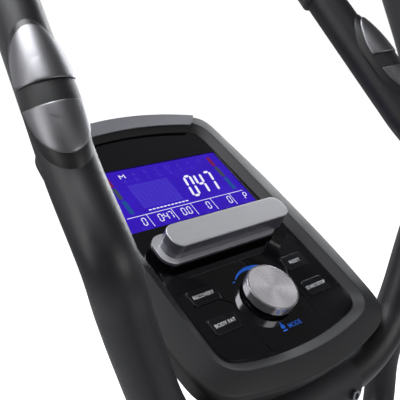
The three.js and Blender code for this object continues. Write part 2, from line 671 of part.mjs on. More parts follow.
function buildPulley() {
  const web = 140;
  return turnedX([[10.4, 14], [26, 14], [26, 23], [web, 23], [web, PULLEY_X[0]], [PULLEY_RADIUS,
    PULLEY_X[0]],
    [PULLEY_RADIUS, PULLEY_X[1]], [web, PULLEY_X[1]], [web, 29], [26, 29], [26, 38], [10.4, 38], [10.4,
      14]], 18)
    .translate(0, CRANK_Y, CRANK_HEIGHT);
}

function buildFlywheel() {
  const r = FLYWHEEL.radius;
  return turnedX([[6.6, -28], [16, -28], [16, -20], [r - 26, -20], [r - 22, -26], [r, -26], [r, 4],
    [r - 22, 4],
    [r - 26, -4], [16, -4], [16, 12], [SMALL_PULLEY_RADIUS, PULLEY_X[0] - 2],
    [SMALL_PULLEY_RADIUS, PULLEY_X[1]], [6.6, PULLEY_X[1]], [6.6, -28]], 18)
    .translate(0, FLYWHEEL_Y, FLYWHEEL.height);
}

function buildMagnets() {
  const inner = FLYWHEEL.radius + 5;
  const outer = FLYWHEEL.radius + 17;
  const arc = new THREE.Shape();
  arc.absarc(FLYWHEEL_Y, FLYWHEEL.height, outer, -0.2, 1.2);
  arc.absarc(FLYWHEEL_Y, FLYWHEEL.height, inner, 1.2, -0.2, true);
  return plateX(arc, -24, 2, { arc: 6 });
}

function buildJack() {
  const inside = 54;
  const outside = inside + JACK.length;
  const wallX = HOUSING.half + GAP;
  return turnedX([[2.8, inside], [7, inside], [7, wallX], [9.5, wallX], [9.5, outside], [2.8, outside],
    [2.8, inside]], 14).translate(0, FLYWHEEL_Y + JACK.forward, JACK.height);
}

place(trainer, 'housing_right', buildHousing(1), FINISH.shell);
place(trainer, 'housing_left', rewound(buildHousing(-1)), FINISH.shell);
place(trainer, 'rear_frame', buildRearFrame(), FINISH.frame);
place(trainer, 'drive_belt', buildBelt(), FINISH.rubber);
place(trainer, 'brake_magnets', buildMagnets(), FINISH.iron);
place(trainer, 'power_inlet', buildJack(), FINISH.shell);
place(trainer, 'flywheel', buildFlywheel(), FINISH.iron);
place(trainer, 'flywheel_axle', rod([-58, FLYWHEEL_Y, FLYWHEEL.height], [58, FLYWHEEL_Y,
  FLYWHEEL.height], 6, 20),
  FINISH.steel);
place(trainer, 'drive_pulley', buildPulley(), FINISH.shell);
place(trainer, 'crank_axle', rod([-CRANK_X[0] + GAP, CRANK_Y, CRANK_HEIGHT],
  [CRANK_X[0] - GAP, CRANK_Y, CRANK_HEIGHT], 10, 24), FINISH.steel);
place(trainer, 'crank_bearing_right', ringX(CRANK_Y, CRANK_HEIGHT, 20, 10.5, 42, 56), FINISH.steel);
place(trainer, 'crank_bearing_left', ringX(CRANK_Y, CRANK_HEIGHT, 20, 10.5, -56, -42), FINISH.steel);

// ---------------------------------------------------------------- cranks, links and pedals

// a flat bar with a round end over each of two points
function linkShape(y0, y1, z, endRadius, barHalf) {
  const shape = new THREE.Shape();
  const lean = Math.asin(barHalf / endRadius);
  shape.absarc(y0, z, endRadius, lean, -lean + Math.PI * 2);
  shape.absarc(y1, z, endRadius, Math.PI + lean, Math.PI * 3 - lean);
  return shape;
}

function buildCrankArm(sign, pinY) {
  const shape = belted([CRANK_Y, CRANK_HEIGHT], 30, [pinY, CRANK_HEIGHT], 23);
  const arm = plateX(shape, CRANK_X[0], CRANK_X[1], { bevel: 2, arc: 6 });
  const pin = rod([CRANK_X[1] - 4, pinY, CRANK_HEIGHT], [LINK_X[1] + 6, pinY, CRANK_HEIGHT], PIN_RADIUS);
  const collar = rod([CRANK_X[1] - 4, pinY, CRANK_HEIGHT], [LINK_X[0] - 3, pinY, CRANK_HEIGHT], 14);
  const whole = join(arm, pin, collar);
  return sign > 0 ? whole : rewound(whole.scale(-1, 1, 1));
}

function buildDisc(sign) {
  const [x0, x1] = DISC_X;
  const disc = turnedX([[10.5, x0], [DISC_RADIUS - 2, x0], [DISC_RADIUS, x0 + 2], [DISC_RADIUS - 4, x0 + 5],
    [60, x1], [10.5, x1], [10.5, x0]], 28);
  return (sign > 0 ? disc : disc.rotateY(Math.PI)).translate(0, CRANK_Y, CRANK_HEIGHT);
}

function buildLink(sign, pinY) {
  const frontY = pinY + LINK_LENGTH;
  const [x0, x1] = LINK_X;
  const bar = plateX(linkShape(pinY, frontY, CRANK_HEIGHT, 26, 19), x0, x1, { bevel: 2, arc: 6 });
  const core = block([x0 + 3, x1 - 3], [pinY + 40, frontY - 40], [CRANK_HEIGHT - 16, CRANK_HEIGHT + 16]);
  const middle = (x0 + x1) / 2;
  const drain = rod([middle, frontY - 80, CRANK_HEIGHT - 40], [middle, frontY - 80, CRANK_HEIGHT], 5);
  const bore = rod([x0 - 10, pinY, CRANK_HEIGHT], [x1 + 10, pinY, CRANK_HEIGHT], PIN_RADIUS + 0.5);
  const stud = rod([x1 - 4, frontY, CRANK_HEIGHT], [SWING_X[0] - 2, frontY, CRANK_HEIGHT], 12);
  const whole = join(cut(bar, core, drain, bore), stud);
  return sign > 0 ? whole : rewound(whole.scale(-1, 1, 1));
}

function buildPedal(sign, pinY) {
  const y = pinY + PEDAL.forward;
  const bottom = CRANK_HEIGHT + 19 + GAP;
  const outer = roundedRectangle(PEDAL.inner, PEDAL.outer, y - PEDAL.halfLength, y + PEDAL.halfLength, 30);
  const inner = roundedRectangle(PEDAL.inner + 5, PEDAL.outer - 5, y - PEDAL.halfLength + 5,
    y + PEDAL.halfLength - 5, 25);
  const tray = cut(plateZ(outer, bottom, bottom + PEDAL.rim), plateZ(inner, bottom + PEDAL.floor,
    bottom + 60));
  return sign > 0 ? tray : rewound(tray.scale(-1, 1, 1));
}

Object.entries(SIDES).forEach(([side, sign]) => {
  const pinY = CRANK_Y + sign * CRANK_RADIUS;
  place(trainer, `crank_disc_${side}`, buildDisc(sign), FINISH.shell);
  place(trainer, `crank_arm_${side}`, buildCrankArm(sign, pinY), FINISH.frame);
  place(trainer, `pedal_arm_${side}`, buildLink(sign, pinY), FINISH.frame);
  place(trainer, `pedal_${side}`, buildPedal(sign, pinY), FINISH.rubber);
});

// ---------------------------------------------------------------- swing arms and moving handles

place(trainer, 'swing_axle', turnedX([
  [0, -SWING_X[1] - 8], [AXLE_RADIUS, -SWING_X[1] - 8], [AXLE_RADIUS, -SWING_X[0] + 4], [20,
    -SWING_X[0] + 4],
  [20, SWING_X[0] - 4], [AXLE_RADIUS, SWING_X[0] - 4], [AXLE_RADIUS, SWING_X[1] + 8], [0, SWING_X[1] + 8],
], 16).translate(0, PIVOT_Y, PIVOT_HEIGHT), FINISH.steel);

function buildSwingArm() {
  const middle = (SWING_X[0] + SWING_X[1]) / 2;
  const hub = rod([SWING_X[0], 0, 0], [SWING_X[1], 0, 0], 32, 18);
  const foot = rod([SWING_X[0], 0, -LEVER], [SWING_X[1], 0, -LEVER], 26, 18);
  const bar = plateX(roundedRectangle(-22, 22, -LEVER, 0, 4), middle - 14, middle + 14);
  const socket = rod([middle, 0, 0], [middle, HANDLE[0][1] - 2, HANDLE[0][2] - 7], 23, 24);
  const root = rod([middle, 0, -20], [middle, 6, 30], 20, 24);
  const axleHole = rod([SWING_X[0] - 10, 0, 0], [SWING_X[1] + 10, 0, 0], AXLE_RADIUS + 0.5, 18);
  const core = block([middle - 11, middle + 11], [-19, 19], [-LEVER + 30, -36]);
  const drain = rod([middle, 0, -LEVER + 60], [middle + 40, 0, -LEVER + 60], 5, 16);
  return cut(join(hub, foot, bar, root, socket), axleHole, core, drain);
}

Object.entries(SIDES).forEach(([side, sign]) => {
  const swing = new THREE.Group();
  swing.position.set(0, PIVOT_Y, PIVOT_HEIGHT);
  swing.rotation.x = sign * SWING;
  trainer.add(swing);
  const arm = buildSwingArm();
  place(swing, `swing_arm_${side}`, sign > 0 ? arm : rewound(arm.scale(-1, 1, 1)), FINISH.frame);
  const path = mirrored(HANDLE, sign);
  const stemPath = path.slice(0, HANDLE_GRIP_FROM + 1);
  const gripPath = path.slice(HANDLE_GRIP_FROM);
  const stem = bentTube(stemPath, HANDLE_RADIUS, 6, 14);
  place(swing, `moving_handle_${side}`, join(stem, bentTube(gripPath, HANDLE_CORE_RADIUS, 2.5, 8)),
    FINISH.frame);
  const sleeve = bentTube(gripPath, GRIP_RADIUS, GRIP_RADIUS - HANDLE_CORE_RADIUS - 0.8, 8);
  const stemEnd = bentTube(stemPath, HANDLE_RADIUS + 2, 12, 14);
  place(swing, `moving_grip_${side}`, cut(sleeve, stemEnd), FINISH.grip);
});

export default trainer;
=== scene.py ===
"""The looks of an elliptical trainer, built round its packed CAD frame.

Each piece is made in millimetres in the frame that suits it: the row frame, the console panel, one leg of
the fixed handlebar, or one swing arm. make_piece() then turns it into metres and puts it on its CAD body.
"""
import json
import math
from collections import namedtuple
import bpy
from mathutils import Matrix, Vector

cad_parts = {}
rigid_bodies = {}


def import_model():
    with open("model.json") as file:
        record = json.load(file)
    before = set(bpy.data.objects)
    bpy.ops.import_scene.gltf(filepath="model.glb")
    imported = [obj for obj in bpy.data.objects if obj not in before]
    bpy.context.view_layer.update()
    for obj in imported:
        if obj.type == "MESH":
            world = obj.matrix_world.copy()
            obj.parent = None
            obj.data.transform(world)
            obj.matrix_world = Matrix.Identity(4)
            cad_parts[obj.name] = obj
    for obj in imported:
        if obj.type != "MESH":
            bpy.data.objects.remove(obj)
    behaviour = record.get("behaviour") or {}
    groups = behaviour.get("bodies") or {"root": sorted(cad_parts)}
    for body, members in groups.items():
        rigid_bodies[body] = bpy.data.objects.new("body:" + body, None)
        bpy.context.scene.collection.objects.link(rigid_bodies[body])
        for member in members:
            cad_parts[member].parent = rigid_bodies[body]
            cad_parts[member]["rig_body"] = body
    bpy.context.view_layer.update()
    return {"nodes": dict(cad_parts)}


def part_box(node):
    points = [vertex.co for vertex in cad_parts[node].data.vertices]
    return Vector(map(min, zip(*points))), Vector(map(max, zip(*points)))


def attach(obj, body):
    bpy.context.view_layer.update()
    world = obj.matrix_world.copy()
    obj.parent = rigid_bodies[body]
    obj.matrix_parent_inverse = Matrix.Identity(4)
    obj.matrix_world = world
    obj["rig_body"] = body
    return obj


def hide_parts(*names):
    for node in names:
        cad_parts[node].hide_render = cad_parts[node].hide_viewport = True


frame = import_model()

from types import SimpleNamespace as Sizes

import bmesh
import bpy
import numpy as np
from mathutils import Matrix, Vector
from mathutils.geometry import tessellate_polygon

scene = bpy.context.scene
MM = 0.001

# ------------------------------------------------------------------ camera

CAMERA_AT = (-0.4183, -0.0384, 1.5499)
CAMERA_HEADING = (0.6802, 0.7330)
CAMERA_DOWN = math.radians(15.78)
LENS, SENSOR = 62.7, 36
CLIP_START = 0.02


def build_camera():
    data = bpy.data.cameras.new("camera")
    data.sensor_width = SENSOR
    data.lens = LENS
    data.clip_start = CLIP_START
    camera = bpy.data.objects.new("camera", data)
    camera.location = CAMERA_AT
    gaze = Vector((*CAMERA_HEADING, 0)).normalized() * math.cos(CAMERA_DOWN)
    gaze.z = -math.sin(CAMERA_DOWN)
    camera.rotation_euler = gaze.to_track_quat("-Z", "Y").to_euler()
    scene.collection.objects.link(camera)
    scene.camera = camera


build_camera()

# ------------------------------------------------------------------ places, in millimetres


def place_at(point, turn=0.0, axis="X"):
    """A frame in metres at a point in millimetres, turned about one axis."""
    return Matrix.Translation(Vector(point) * MM) @ Matrix.Rotation(turn, 4, axis)


PANEL_TOP = (0, 524, 1430)
PANEL = place_at(PANEL_TOP, math.radians(31.9))
ALONG_X = Matrix(((0, 0, 1, 0), (1, 0, 0, 0), (0, 1, 0, 0), (0, 0, 0, 1)))   # local x, y, z become Y, Z, X
SIDES = {"left": -1, "right": 1}


def box_of(node):
    low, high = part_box(node)
    return np.array(low) / MM, np.array(high) / MM


def centre_of(node):
    low, high = box_of(node)
    return (low + high) / 2


CRANK = centre_of("crank_axle")
FLYWHEEL = centre_of("flywheel_axle")
PIVOT = centre_of("swing_axle")
CRANK_RADIUS = 165
LEVER = math.hypot(PIVOT[2] - CRANK[2], CRANK_RADIUS)
SWING = math.atan2(CRANK_RADIUS, PIVOT[2] - CRANK[2])
LINK_LENGTH = PIVOT[1] - CRANK[1]

POST_TOP = np.array((0, 296, 1200.0))
POST_FOOT = np.array((0, 544, 100.0))
POST_AXIS = (POST_TOP - POST_FOOT) / np.linalg.norm(POST_TOP - POST_FOOT)
BEAM_TOP = 104.3

BAR_RADIUS = 18.35
BAR_CENTRE = np.array((0, 288, 1223.0))
ELBOW = np.array((193, 283, 1400.0))
LEG_BASE = np.array((195, 285, 1400.0))
LEG_WAY = np.array((-0.1, 0.644, 0.758)) / np.linalg.norm((-0.1, 0.644, 0.758))
LEG_LENGTH = 330


def leg_point(distance):
    return LEG_BASE + LEG_WAY * distance


BAR_RIGHT = [(30, 288, 1223), (60, 288, 1224), (91, 288, 1229), (116, 288.5, 1240), (137, 289, 1258),
             (152, 289, 1283), (168, 288, 1325), (183, 285.5, 1368), ELBOW,
             leg_point(60), leg_point(110), leg_point(180), leg_point(LEG_LENGTH)]

# right moving handle's centreline from the pivot, with the swing arm upright
HANDLE = [(200, 17, 82), (207, 20, 108), (232, 34, 150), (262, 52, 184), (280, 69, 214), (285, 85, 262),
          (288, 93, 330), (290, 98, 400), (290, 108, 470), (287, 128, 540), (281, 170, 616),
          (279, 215, 673), (275, 273, 741)]
GRIP_FROM = 8     # the foam grip starts at this point of the centreline

# ------------------------------------------------------------------ shapes

Shape = namedtuple("Shape", "vertices faces")


def skin(rings, wrap=False, capped=True):
    """A surface over equal rings of points, closed on itself or capped at both ends."""
    count = len(rings[0])
    faces = []
    for r in range(len(rings) if wrap else len(rings) - 1):
        here, there = r * count, (r + 1) % len(rings) * count
        for i in range(count):
            j = (i + 1) % count
            faces.append((here + i, here + j, there + j, there + i))
    if capped and not wrap:
        last = (len(rings) - 1) * count
        faces.append(tuple(range(count))[::-1])
        faces.append(tuple(range(last, last + count)))
    return Shape(np.concatenate(rings), faces)


def merge(*shapes):
    vertices, faces, start = [], [], 0
    for shape in shapes:
        vertices.append(shape.vertices)
        faces += [tuple(start + i for i in face) for face in shape.faces]
        start += len(shape.vertices)
    return Shape(np.concatenate(vertices), faces)


def moved(shape, matrix):
    """The shape carried by a matrix whose lengths are in millimetres."""
    m = np.array(matrix)
    return Shape(shape.vertices @ m[:3, :3].T + m[:3, 3], shape.faces)


def shifted(shape, x=0, y=0, z=0):
    return Shape(shape.vertices + np.array((x, y, z)), shape.faces)


def side_of(shape, sign):
    """The shape as made for the right side, or mirrored to the left."""
    return Shape(shape.vertices * np.array((sign, 1, 1)), shape.faces)


def quadratic(a, b, c, t):
    """A curve from a to c that leans towards b."""
    return (1 - t) ** 2 * a + 2 * t * (1 - t) * b + t * t * c


def cubic(a, b, start, end, t):
    """A curve that leaves a along start and reaches b along end."""
    return (a * (2 * t ** 3 - 3 * t * t + 1) + b * (3 * t * t - 2 * t ** 3)
            + start * (t ** 3 - 2 * t * t + t) + end * (t ** 3 - t * t))


def fillet(points, radius, steps=3, closed=False):
    """Rounds the corners of a run of points, or of rings of points; radius is one number or one a corner."""
    points = [np.asarray(p, float) for p in points]
    radii = [radius] * len(points) if isinstance(radius, (int, float)) else radius
    rounded = []
    for i, corner in enumerate(points):
        if radii[i] == 0 or (not closed and i in (0, len(points) - 1)):
            rounded.append(corner)
            continue
        ends = []
        for neighbour in (points[i - 1], points[(i + 1) % len(points)]):
            way = neighbour - corner
            length = np.maximum(np.linalg.norm(way, axis=-1, keepdims=True), 1e-9)
            ends.append(corner + way * np.minimum(radii[i] / length, 0.48))
        rounded += [quadratic(ends[0], corner, ends[1], t) for t in np.linspace(0, 1, steps + 1)]
    return rounded


def circle(x, y, radius, sides=48):
    angles = np.arange(sides) / sides * 2 * math.pi
    return np.column_stack((x + radius * np.cos(angles), y + radius * np.sin(angles)))


def arc(x, y, radius, start, end, steps=8):
    angles = np.linspace(start, end, steps + 1)
    return np.column_stack((x + radius * np.cos(angles), y + radius * np.sin(angles)))


def rounded_rectangle(x0, x1, y0, y1, radius, steps=8):
    quarter = math.pi / 2
    corners = [(x1 - radius, y0 + radius, -1), (x1 - radius, y1 - radius, 0),
               (x0 + radius, y1 - radius, 1), (x0 + radius, y0 + radius, 2)]
    return np.concatenate([arc(x, y, radius, k * quarter, (k + 1) * quarter, steps) for x, y, k in corners])


def belted(c0, r0, c1, r1, steps=48):
    """Two circles and the straight sides that touch both."""
    along = math.atan2(c1[1] - c0[1], c1[0] - c0[0])
    lean = math.acos((r0 - r1) / math.hypot(c1[0] - c0[0], c1[1] - c0[1]))
    return np.concatenate((arc(*c0, r0, along + lean, along - lean + 2 * math.pi, steps),
                           arc(*c1, r1, along - lean, along + lean, steps)))


def offset(outline, distance):
    """An anticlockwise outline moved outwards."""
    ahead = np.roll(outline, -1, axis=0) - outline
    ahead /= np.linalg.norm(ahead, axis=1, keepdims=True)
    side = np.column_stack((ahead[:, 1], -ahead[:, 0]))
    normal = side + np.roll(side, 1, axis=0)
    normal /= np.linalg.norm(normal, axis=1, keepdims=True)
    mitre = np.maximum(np.sum(normal * side, axis=1, keepdims=True), 0.5)
    return outline + normal / mitre * distance


def at_height(outline, z):
    return np.column_stack((outline, np.full(len(outline), float(z))))


def at_x(outline, x):
    return np.column_stack((np.full(len(outline), float(x)), outline))


def plate(outlines, low, high, edge=0.0, steps=3):
    """A flat piece with rounded edges; the first outline is its rim, the others are its holes."""
    turns = np.linspace(0, math.pi / 2, steps + 1) if edge else [0]
    levels = [(edge * (1 - math.sin(a)), low + edge * (1 - math.cos(a))) for a in turns]
    levels += [(edge * (1 - math.cos(a)), high - edge * (1 - math.sin(a))) for a in turns]
    walls = []
    for k, outline in enumerate(outlines):
        way = 1 if k else -1
        walls.append(skin([at_height(offset(outline, inset * way), z) for inset, z in levels], capped=False))
    whole = merge(*walls)
    caps, first, last = [], [], []
    start = 0
    for wall, outline in zip(walls, outlines):
        first += range(start, start + len(outline))
        start += len(wall.vertices)
        last += range(start - len(outline), start)
    triangles = tessellate_polygon([[Vector((*p, 0)) for p in wall.vertices[:len(outline), :2]]
                                    for wall, outline in zip(walls, outlines)])
    for triangle in triangles:
        caps.append(tuple(first[i] for i in triangle))
        caps.append(tuple(last[i] for i in triangle))
    return Shape(whole.vertices, whole.faces + caps)


def lathe(profile, sides=72, radius=0.0, ring=False):
    """Pairs of radius and height turned about Z; only a ring's profile closes on itself."""
    profile = fillet(profile, radius, 2, closed=ring)
    angles = np.arange(sides) / sides * 2 * math.pi
    around = np.column_stack((np.cos(angles), np.sin(angles)))
    rings = [at_height(r * around, h) for r, h in profile]
    return skin(rings, wrap=ring, capped=False)


def lathe_x(profile, y, z, **options):
    """A lathe shape about the line through y and z that runs along X."""
    return shifted(moved(lathe(profile, **options), ALONG_X), 0, y, z)


def both_ends(profile):
    """A lathe profile followed by its mirror image in height."""
    return profile + [(r, -h) for r, h in profile[::-1]]


def curve_through(points, step=6.0):
    """A smooth centripetal curve through the points, sampled about every step."""
    p = [np.asarray(q, float) for q in points]
    p = [2 * p[0] - p[1], *p, 2 * p[-1] - p[-2]]
    path = []
    for a, b, c, d in zip(p, p[1:], p[2:], p[3:]):
        ab, bc, cd = (max(np.linalg.norm(v - u), 1e-6) ** 0.5 for u, v in ((a, b), (b, c), (c, d)))
        start = ((b - a) / ab - (c - a) / (ab + bc) + (c - b) / bc) * bc
        end = ((c - b) / bc - (d - b) / (bc + cd) + (d - c) / cd) * bc
        for t in np.arange(0, 1, min(1.0, step / np.linalg.norm(c - b))):
            path.append(cubic(b, c, start, end, t))
    path.append(p[-2])
    return np.array(path)


def tube(path, radius, sides=48, ends=0.0):
    """A round bar along a path, with the edges of its two ends rounded."""
    ways = np.gradient(path, axis=0)
    ways /= np.linalg.norm(ways, axis=1, keepdims=True)
    side = np.cross(ways[0], (0, 0, 1) if abs(ways[0][2]) < 0.9 else (0, 1, 0))
    turns = np.linspace(0, math.pi / 2, 5)
    rings = []
    for i, (point, way) in enumerate(zip(path, ways)):
        side = side - way * np.dot(side, way)
        side /= np.linalg.norm(side)
        up = np.cross(way, side)
        angles = np.arange(sides)[:, None] / sides * 2 * math.pi
        around = np.cos(angles) * side + np.sin(angles) * up
        if ends and i in (0, len(path) - 1):
            out = -way if i == 0 else way
            layers = [point - out * ends * (1 - math.sin(a)) + around * (radius - ends * (1 - math.cos(a)))
                      for a in turns]
            rings += layers[::-1] if i == 0 else layers
        else:
            rings.append(point + around * radius)
    return skin(rings)


def rod(start, end, radius, sides=48, ends=0.0):
    start, end = np.asarray(start, float), np.asarray(end, float)
    return tube(np.array([start + (end - start) * t for t in (0, 0.5, 1)]), radius, sides, ends)


def slab(x, y, z, edge=0.0, corner=0.0):
    """A block between two x, two y and two z, with rounded upright corners and rounded edges."""
    corner = max(corner, edge, 0.01)
    return plate([rounded_rectangle(*x, *y, corner, 4)], *z, edge)


# ------------------------------------------------------------------ pieces

Look = namedtuple("Look", "material slot")


def to_mesh(name, shape, scale=MM):
    mesh = bpy.data.meshes.new(name)
    mesh.from_pydata([tuple(v) for v in np.asarray(shape.vertices) * scale], [], shape.faces)
    work = bmesh.new()
    work.from_mesh(mesh)
    bmesh.ops.remove_doubles(work, verts=work.verts, dist=2e-3 * scale)
    bmesh.ops.dissolve_degenerate(work, dist=1e-4 * scale, edges=work.edges)
    bmesh.ops.recalc_face_normals(work, faces=work.faces)
    work.to_mesh(mesh)
    work.free()
    return mesh


def make_piece(name, shape, look, body, place=Matrix.Identity(4), crease=32, weighted=True):
    mesh = shape if isinstance(shape, bpy.types.Mesh) else to_mesh(name, shape)
    mesh.polygons.foreach_set("use_smooth", [True] * len(mesh.polygons))
    mesh.set_sharp_from_angle(angle=math.radians(crease))
    mesh.materials.clear()
    mesh.materials.append(look.material)
    piece = bpy.data.objects.new(name, mesh)
    scene.collection.objects.link(piece)
    piece.matrix_world = place
    if weighted:
        normals = piece.modifiers.new("weighted normals", "WEIGHTED_NORMAL")
        normals.keep_sharp = True
    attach(piece, body)
    return piece


def body_of(node):
    return frame["nodes"][node]["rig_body"]


def finished(node, shape, look, place=Matrix.Identity(4), **options):
    """The visible piece that stands for a CAD node."""
    piece = make_piece(f"{node}_finished", shape, look, body_of(node), place, **options)
    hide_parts(node)
    return piece


def detail(name, shape, look, near, place=Matrix.Identity(4), **options):
    """A small piece that the CAD leaves out, which moves with a CAD node."""
    return make_piece(name, shape, look, body_of(near), place, **options)


def on_both_sides(make, name, shape, look, *near):
    """The right side's piece and its mirror image; make is finished or detail."""
    for side, sign in SIDES.items():
        make(f"{name}_{side}", side_of(shape, sign), look, *[f"{node}_{side}" for node in near])


def evaluated(obj):
    """An object's mesh with its modifiers applied, as a shape."""
    made = obj.evaluated_get(bpy.context.evaluated_depsgraph_get()).to_mesh()
    return Shape(np.array([v.co for v in made.vertices]), [tuple(p.vertices) for p in made.polygons])


def united(*shapes):
    """One closed surface from several that overlap, through exact booleans."""
    objects = []
    for shape in shapes:
        obj = bpy.data.objects.new("part", to_mesh("part", shape, 1.0))
        scene.collection.objects.link(obj)
        objects.append(obj)
    for other in objects[1:]:
        union = objects[0].modifiers.new("union", "BOOLEAN")
        union.operation = "UNION"
        union.solver = "EXACT"
        union.object = other
    whole = evaluated(objects[0])
    for obj in objects:
        bpy.data.objects.remove(obj)
    return whole


def refined(node, look, edge=0.5):
    """A CAD node's own mesh with its corners softened, for pieces inside the covers."""
    mesh = frame["nodes"][node].data.copy()
    work = bmesh.new()
    work.from_mesh(mesh)
    bmesh.ops.remove_doubles(work, verts=work.verts, dist=1e-6)
    sharp = [e for e in work.edges if len(e.link_faces) == 2 and e.calc_face_angle() > math.radians(40)]
    bmesh.ops.bevel(work, geom=sharp, offset=edge * MM, segments=2, profile=0.5, affect="EDGES",
                    clamp_overlap=True)
    work.to_mesh(mesh)
    work.free()
    return finished(node, mesh, look, crease=28)


def lettering(text, centre, height, depth, width=None, weight=0.0):
    """Flat letters with their capitals' height in millimetres; depth is the low and high side."""
    font = bpy.data.curves.new("letters", "FONT")
    font.body = text
    font.align_x = "CENTER"
    font.align_y = "CENTER"
    font.extrude = 0.05
    font.offset = weight
    font.resolution_u = 3
    holder = bpy.data.objects.new("letters", font)
    scene.collection.objects.link(holder)
    vertices, faces = evaluated(holder)
    bpy.data.objects.remove(holder)
    low, high = vertices.min(0), vertices.max(0)
    size = high - low
    tall = height / size[1]
    wide = width / size[0] if width else tall
    vertices = (vertices - (low + high) / 2) * (wide, tall, (depth[1] - depth[0]) / size[2])
    return shifted(Shape(vertices, faces), centre[0], centre[1], (depth[0] + depth[1]) / 2)


# ------------------------------------------------------------------ materials


def srgb(code):
    """A colour written as RRGGBB, in the linear values that a shader takes."""
    channels = [int(code[i:i + 2], 16) / 255 for i in (0, 2, 4)]
    return [c / 12.92 if c <= 0.04045 else ((c + 0.055) / 1.055) ** 2.4 for c in channels]


def shade(code, factor):
    return [min(c * factor, 1) for c in srgb(code)] + [1]


class Nodes:
    """The nodes of a material or of the world."""

    def __init__(self, owner):
        owner.use_nodes = True
        self.nodes = owner.node_tree.nodes
        self.links = owner.node_tree.links

    def feed(self, node, inputs):
        """Sets each input to a value, or links it to another node's output."""
        for name, value in inputs.items():
            if isinstance(value, bpy.types.NodeSocket):
                self.links.new(value, node.inputs[name])
            else:
                node.inputs[name].default_value = value

    def node(self, kind, inputs, **settings):
        made = self.nodes.new(kind)
        for name, value in settings.items():
            setattr(made, name, value)
        self.feed(made, inputs)
        return made


class Tree(Nodes):
    """One material's nodes, with short ways to add to them."""

    def __init__(self, name):
        self.material = bpy.data.materials.new(name)
        super().__init__(self.material)
        self.shader = self.nodes["Principled BSDF"]
        self.place = self.nodes.new("ShaderNodeTexCoord").outputs["Object"]

    def stretched(self, scale):
        return self.node("ShaderNodeMapping", {"Vector": self.place, "Scale": scale}).outputs[0]

    def noise(self, scale, detail=2.0, place=None):
        inputs = {"Vector": place or self.place, "Scale": scale, "Detail": detail}
        return self.node("ShaderNodeTexNoise", inputs).outputs[0]

    def between(self, value, low, high):
        """A noise value spread from low to high."""
        inputs = {"Value": value, "From Min": 0.3, "From Max": 0.7, "To Min": low, "To Max": high}
        return self.node("ShaderNodeMapRange", inputs).outputs[0]

    def blend(self, factor, first, second):
        return self.node("ShaderNodeMix", {0: factor, 6: first, 7: second}, data_type="RGBA").outputs[2]

    def mottled(self, noise, tone, low, high):
        """A tone that drifts between two brightnesses with a noise value."""
        return self.blend(self.between(noise, 0, 1), shade(tone, low), shade(tone, high))

    def bump(self, height, depth, under=None):
        inputs = {"Height": height, "Distance": depth * MM, "Strength": 1.0}
        if under:
            inputs["Normal"] = under
        return self.node("ShaderNodeBump", inputs).outputs[0]

    def shade_with(self, **sockets):
        """Sets or links the shader's inputs, named with an underscore for each space."""
        self.feed(self.shader, {name.replace("_", " "): value for name, value in sockets.items()})


def moulded(name, slot, tone, roughness, grain=1500.0, depth=0.03, mottle=0.12, spread=0.06, **constants):
    """Plastic or paint: soft patches of tone, a fine grain, and a roughness that wanders with the patches."""
    tree = Tree(name)
    patches = tree.noise(14.0, 4.0)
    speckle = tree.noise(grain, 3.0)
    broad = tree.mottled(patches, tone, 1 - mottle, 1 + mottle)
    tree.shade_with(Base_Color=tree.blend(tree.between(speckle, 0, 0.35), broad, shade(tone, 1.5)),
                    Roughness=tree.between(patches, roughness - spread, roughness + spread),
                    Normal=tree.bump(speckle, depth))
    tree.shade_with(**constants)
    return Look(tree.material, slot)


def powder_coat(name, slot, tone, roughness):
    """Paint with an orange-peel skin over a fine sparkle of tone."""
    tree = Tree(name)
    peel = tree.noise(420.0, 2.0)
    speckle = tree.noise(2600.0, 2.0)
    patches = tree.noise(11.0, 3.0)
    broad = tree.mottled(patches, tone, 0.9, 1.12)
    tree.shade_with(Base_Color=tree.blend(tree.between(speckle, 0, 0.4), broad, shade(tone, 1.7)),
                    Roughness=tree.between(peel, roughness - 0.05, roughness + 0.07),
                    Normal=tree.bump(speckle, 0.012, under=tree.bump(peel, 0.05)))
    return Look(tree.material, slot)


def brushed(name, slot, tone, roughness, stretch, depth=0.006, contrast=0.1, **constants):
    """Metal with fine lines along one local axis; stretch is the lines' scale on each axis."""
    tree = Tree(name)
    lines = tree.noise(1.0, 4.0, tree.stretched(stretch))
    patches = tree.noise(30.0, 2.0)
    broad = tree.mottled(lines, tone, 1 - contrast, 1 + contrast)
    tree.shade_with(Base_Color=tree.blend(tree.between(patches, 0, 0.3), broad, shade(tone, 0.9)),
                    Roughness=tree.between(lines, roughness - 0.04, roughness + 0.05),
                    Normal=tree.bump(lines, depth))
    tree.shade_with(**{"Metallic": 1.0, **constants})
    return Look(tree.material, slot)


def spun(name, slot, tone, roughness, **constants):
    """Metal turned on a lathe: fine rings about the local Z axis, and highlights that fan out from it."""
    tree = Tree(name)
    flat = tree.node("ShaderNodeVectorMath", {0: tree.place, 1: (1, 1, 0)}, operation="MULTIPLY").outputs[0]
    reach = tree.node("ShaderNodeVectorMath", {0: flat}, operation="LENGTH").outputs[1]
    rings = tree.node("ShaderNodeTexNoise", {"W": reach, "Scale": 2600.0, "Detail": 3.0},
                      noise_dimensions="1D").outputs[0]
    tree.shade_with(Base_Color=tree.mottled(rings, tone, 0.94, 1.05),
                    Roughness=tree.between(rings, roughness - 0.03, roughness + 0.03),
                    Normal=tree.bump(rings, 0.004),
                    Tangent=tree.node("ShaderNodeTangent", {}, direction_type="RADIAL", axis="Z").outputs[0])
    tree.shade_with(**{"Metallic": 1.0, "Anisotropic": 0.85, **constants})
    return Look(tree.material, slot)


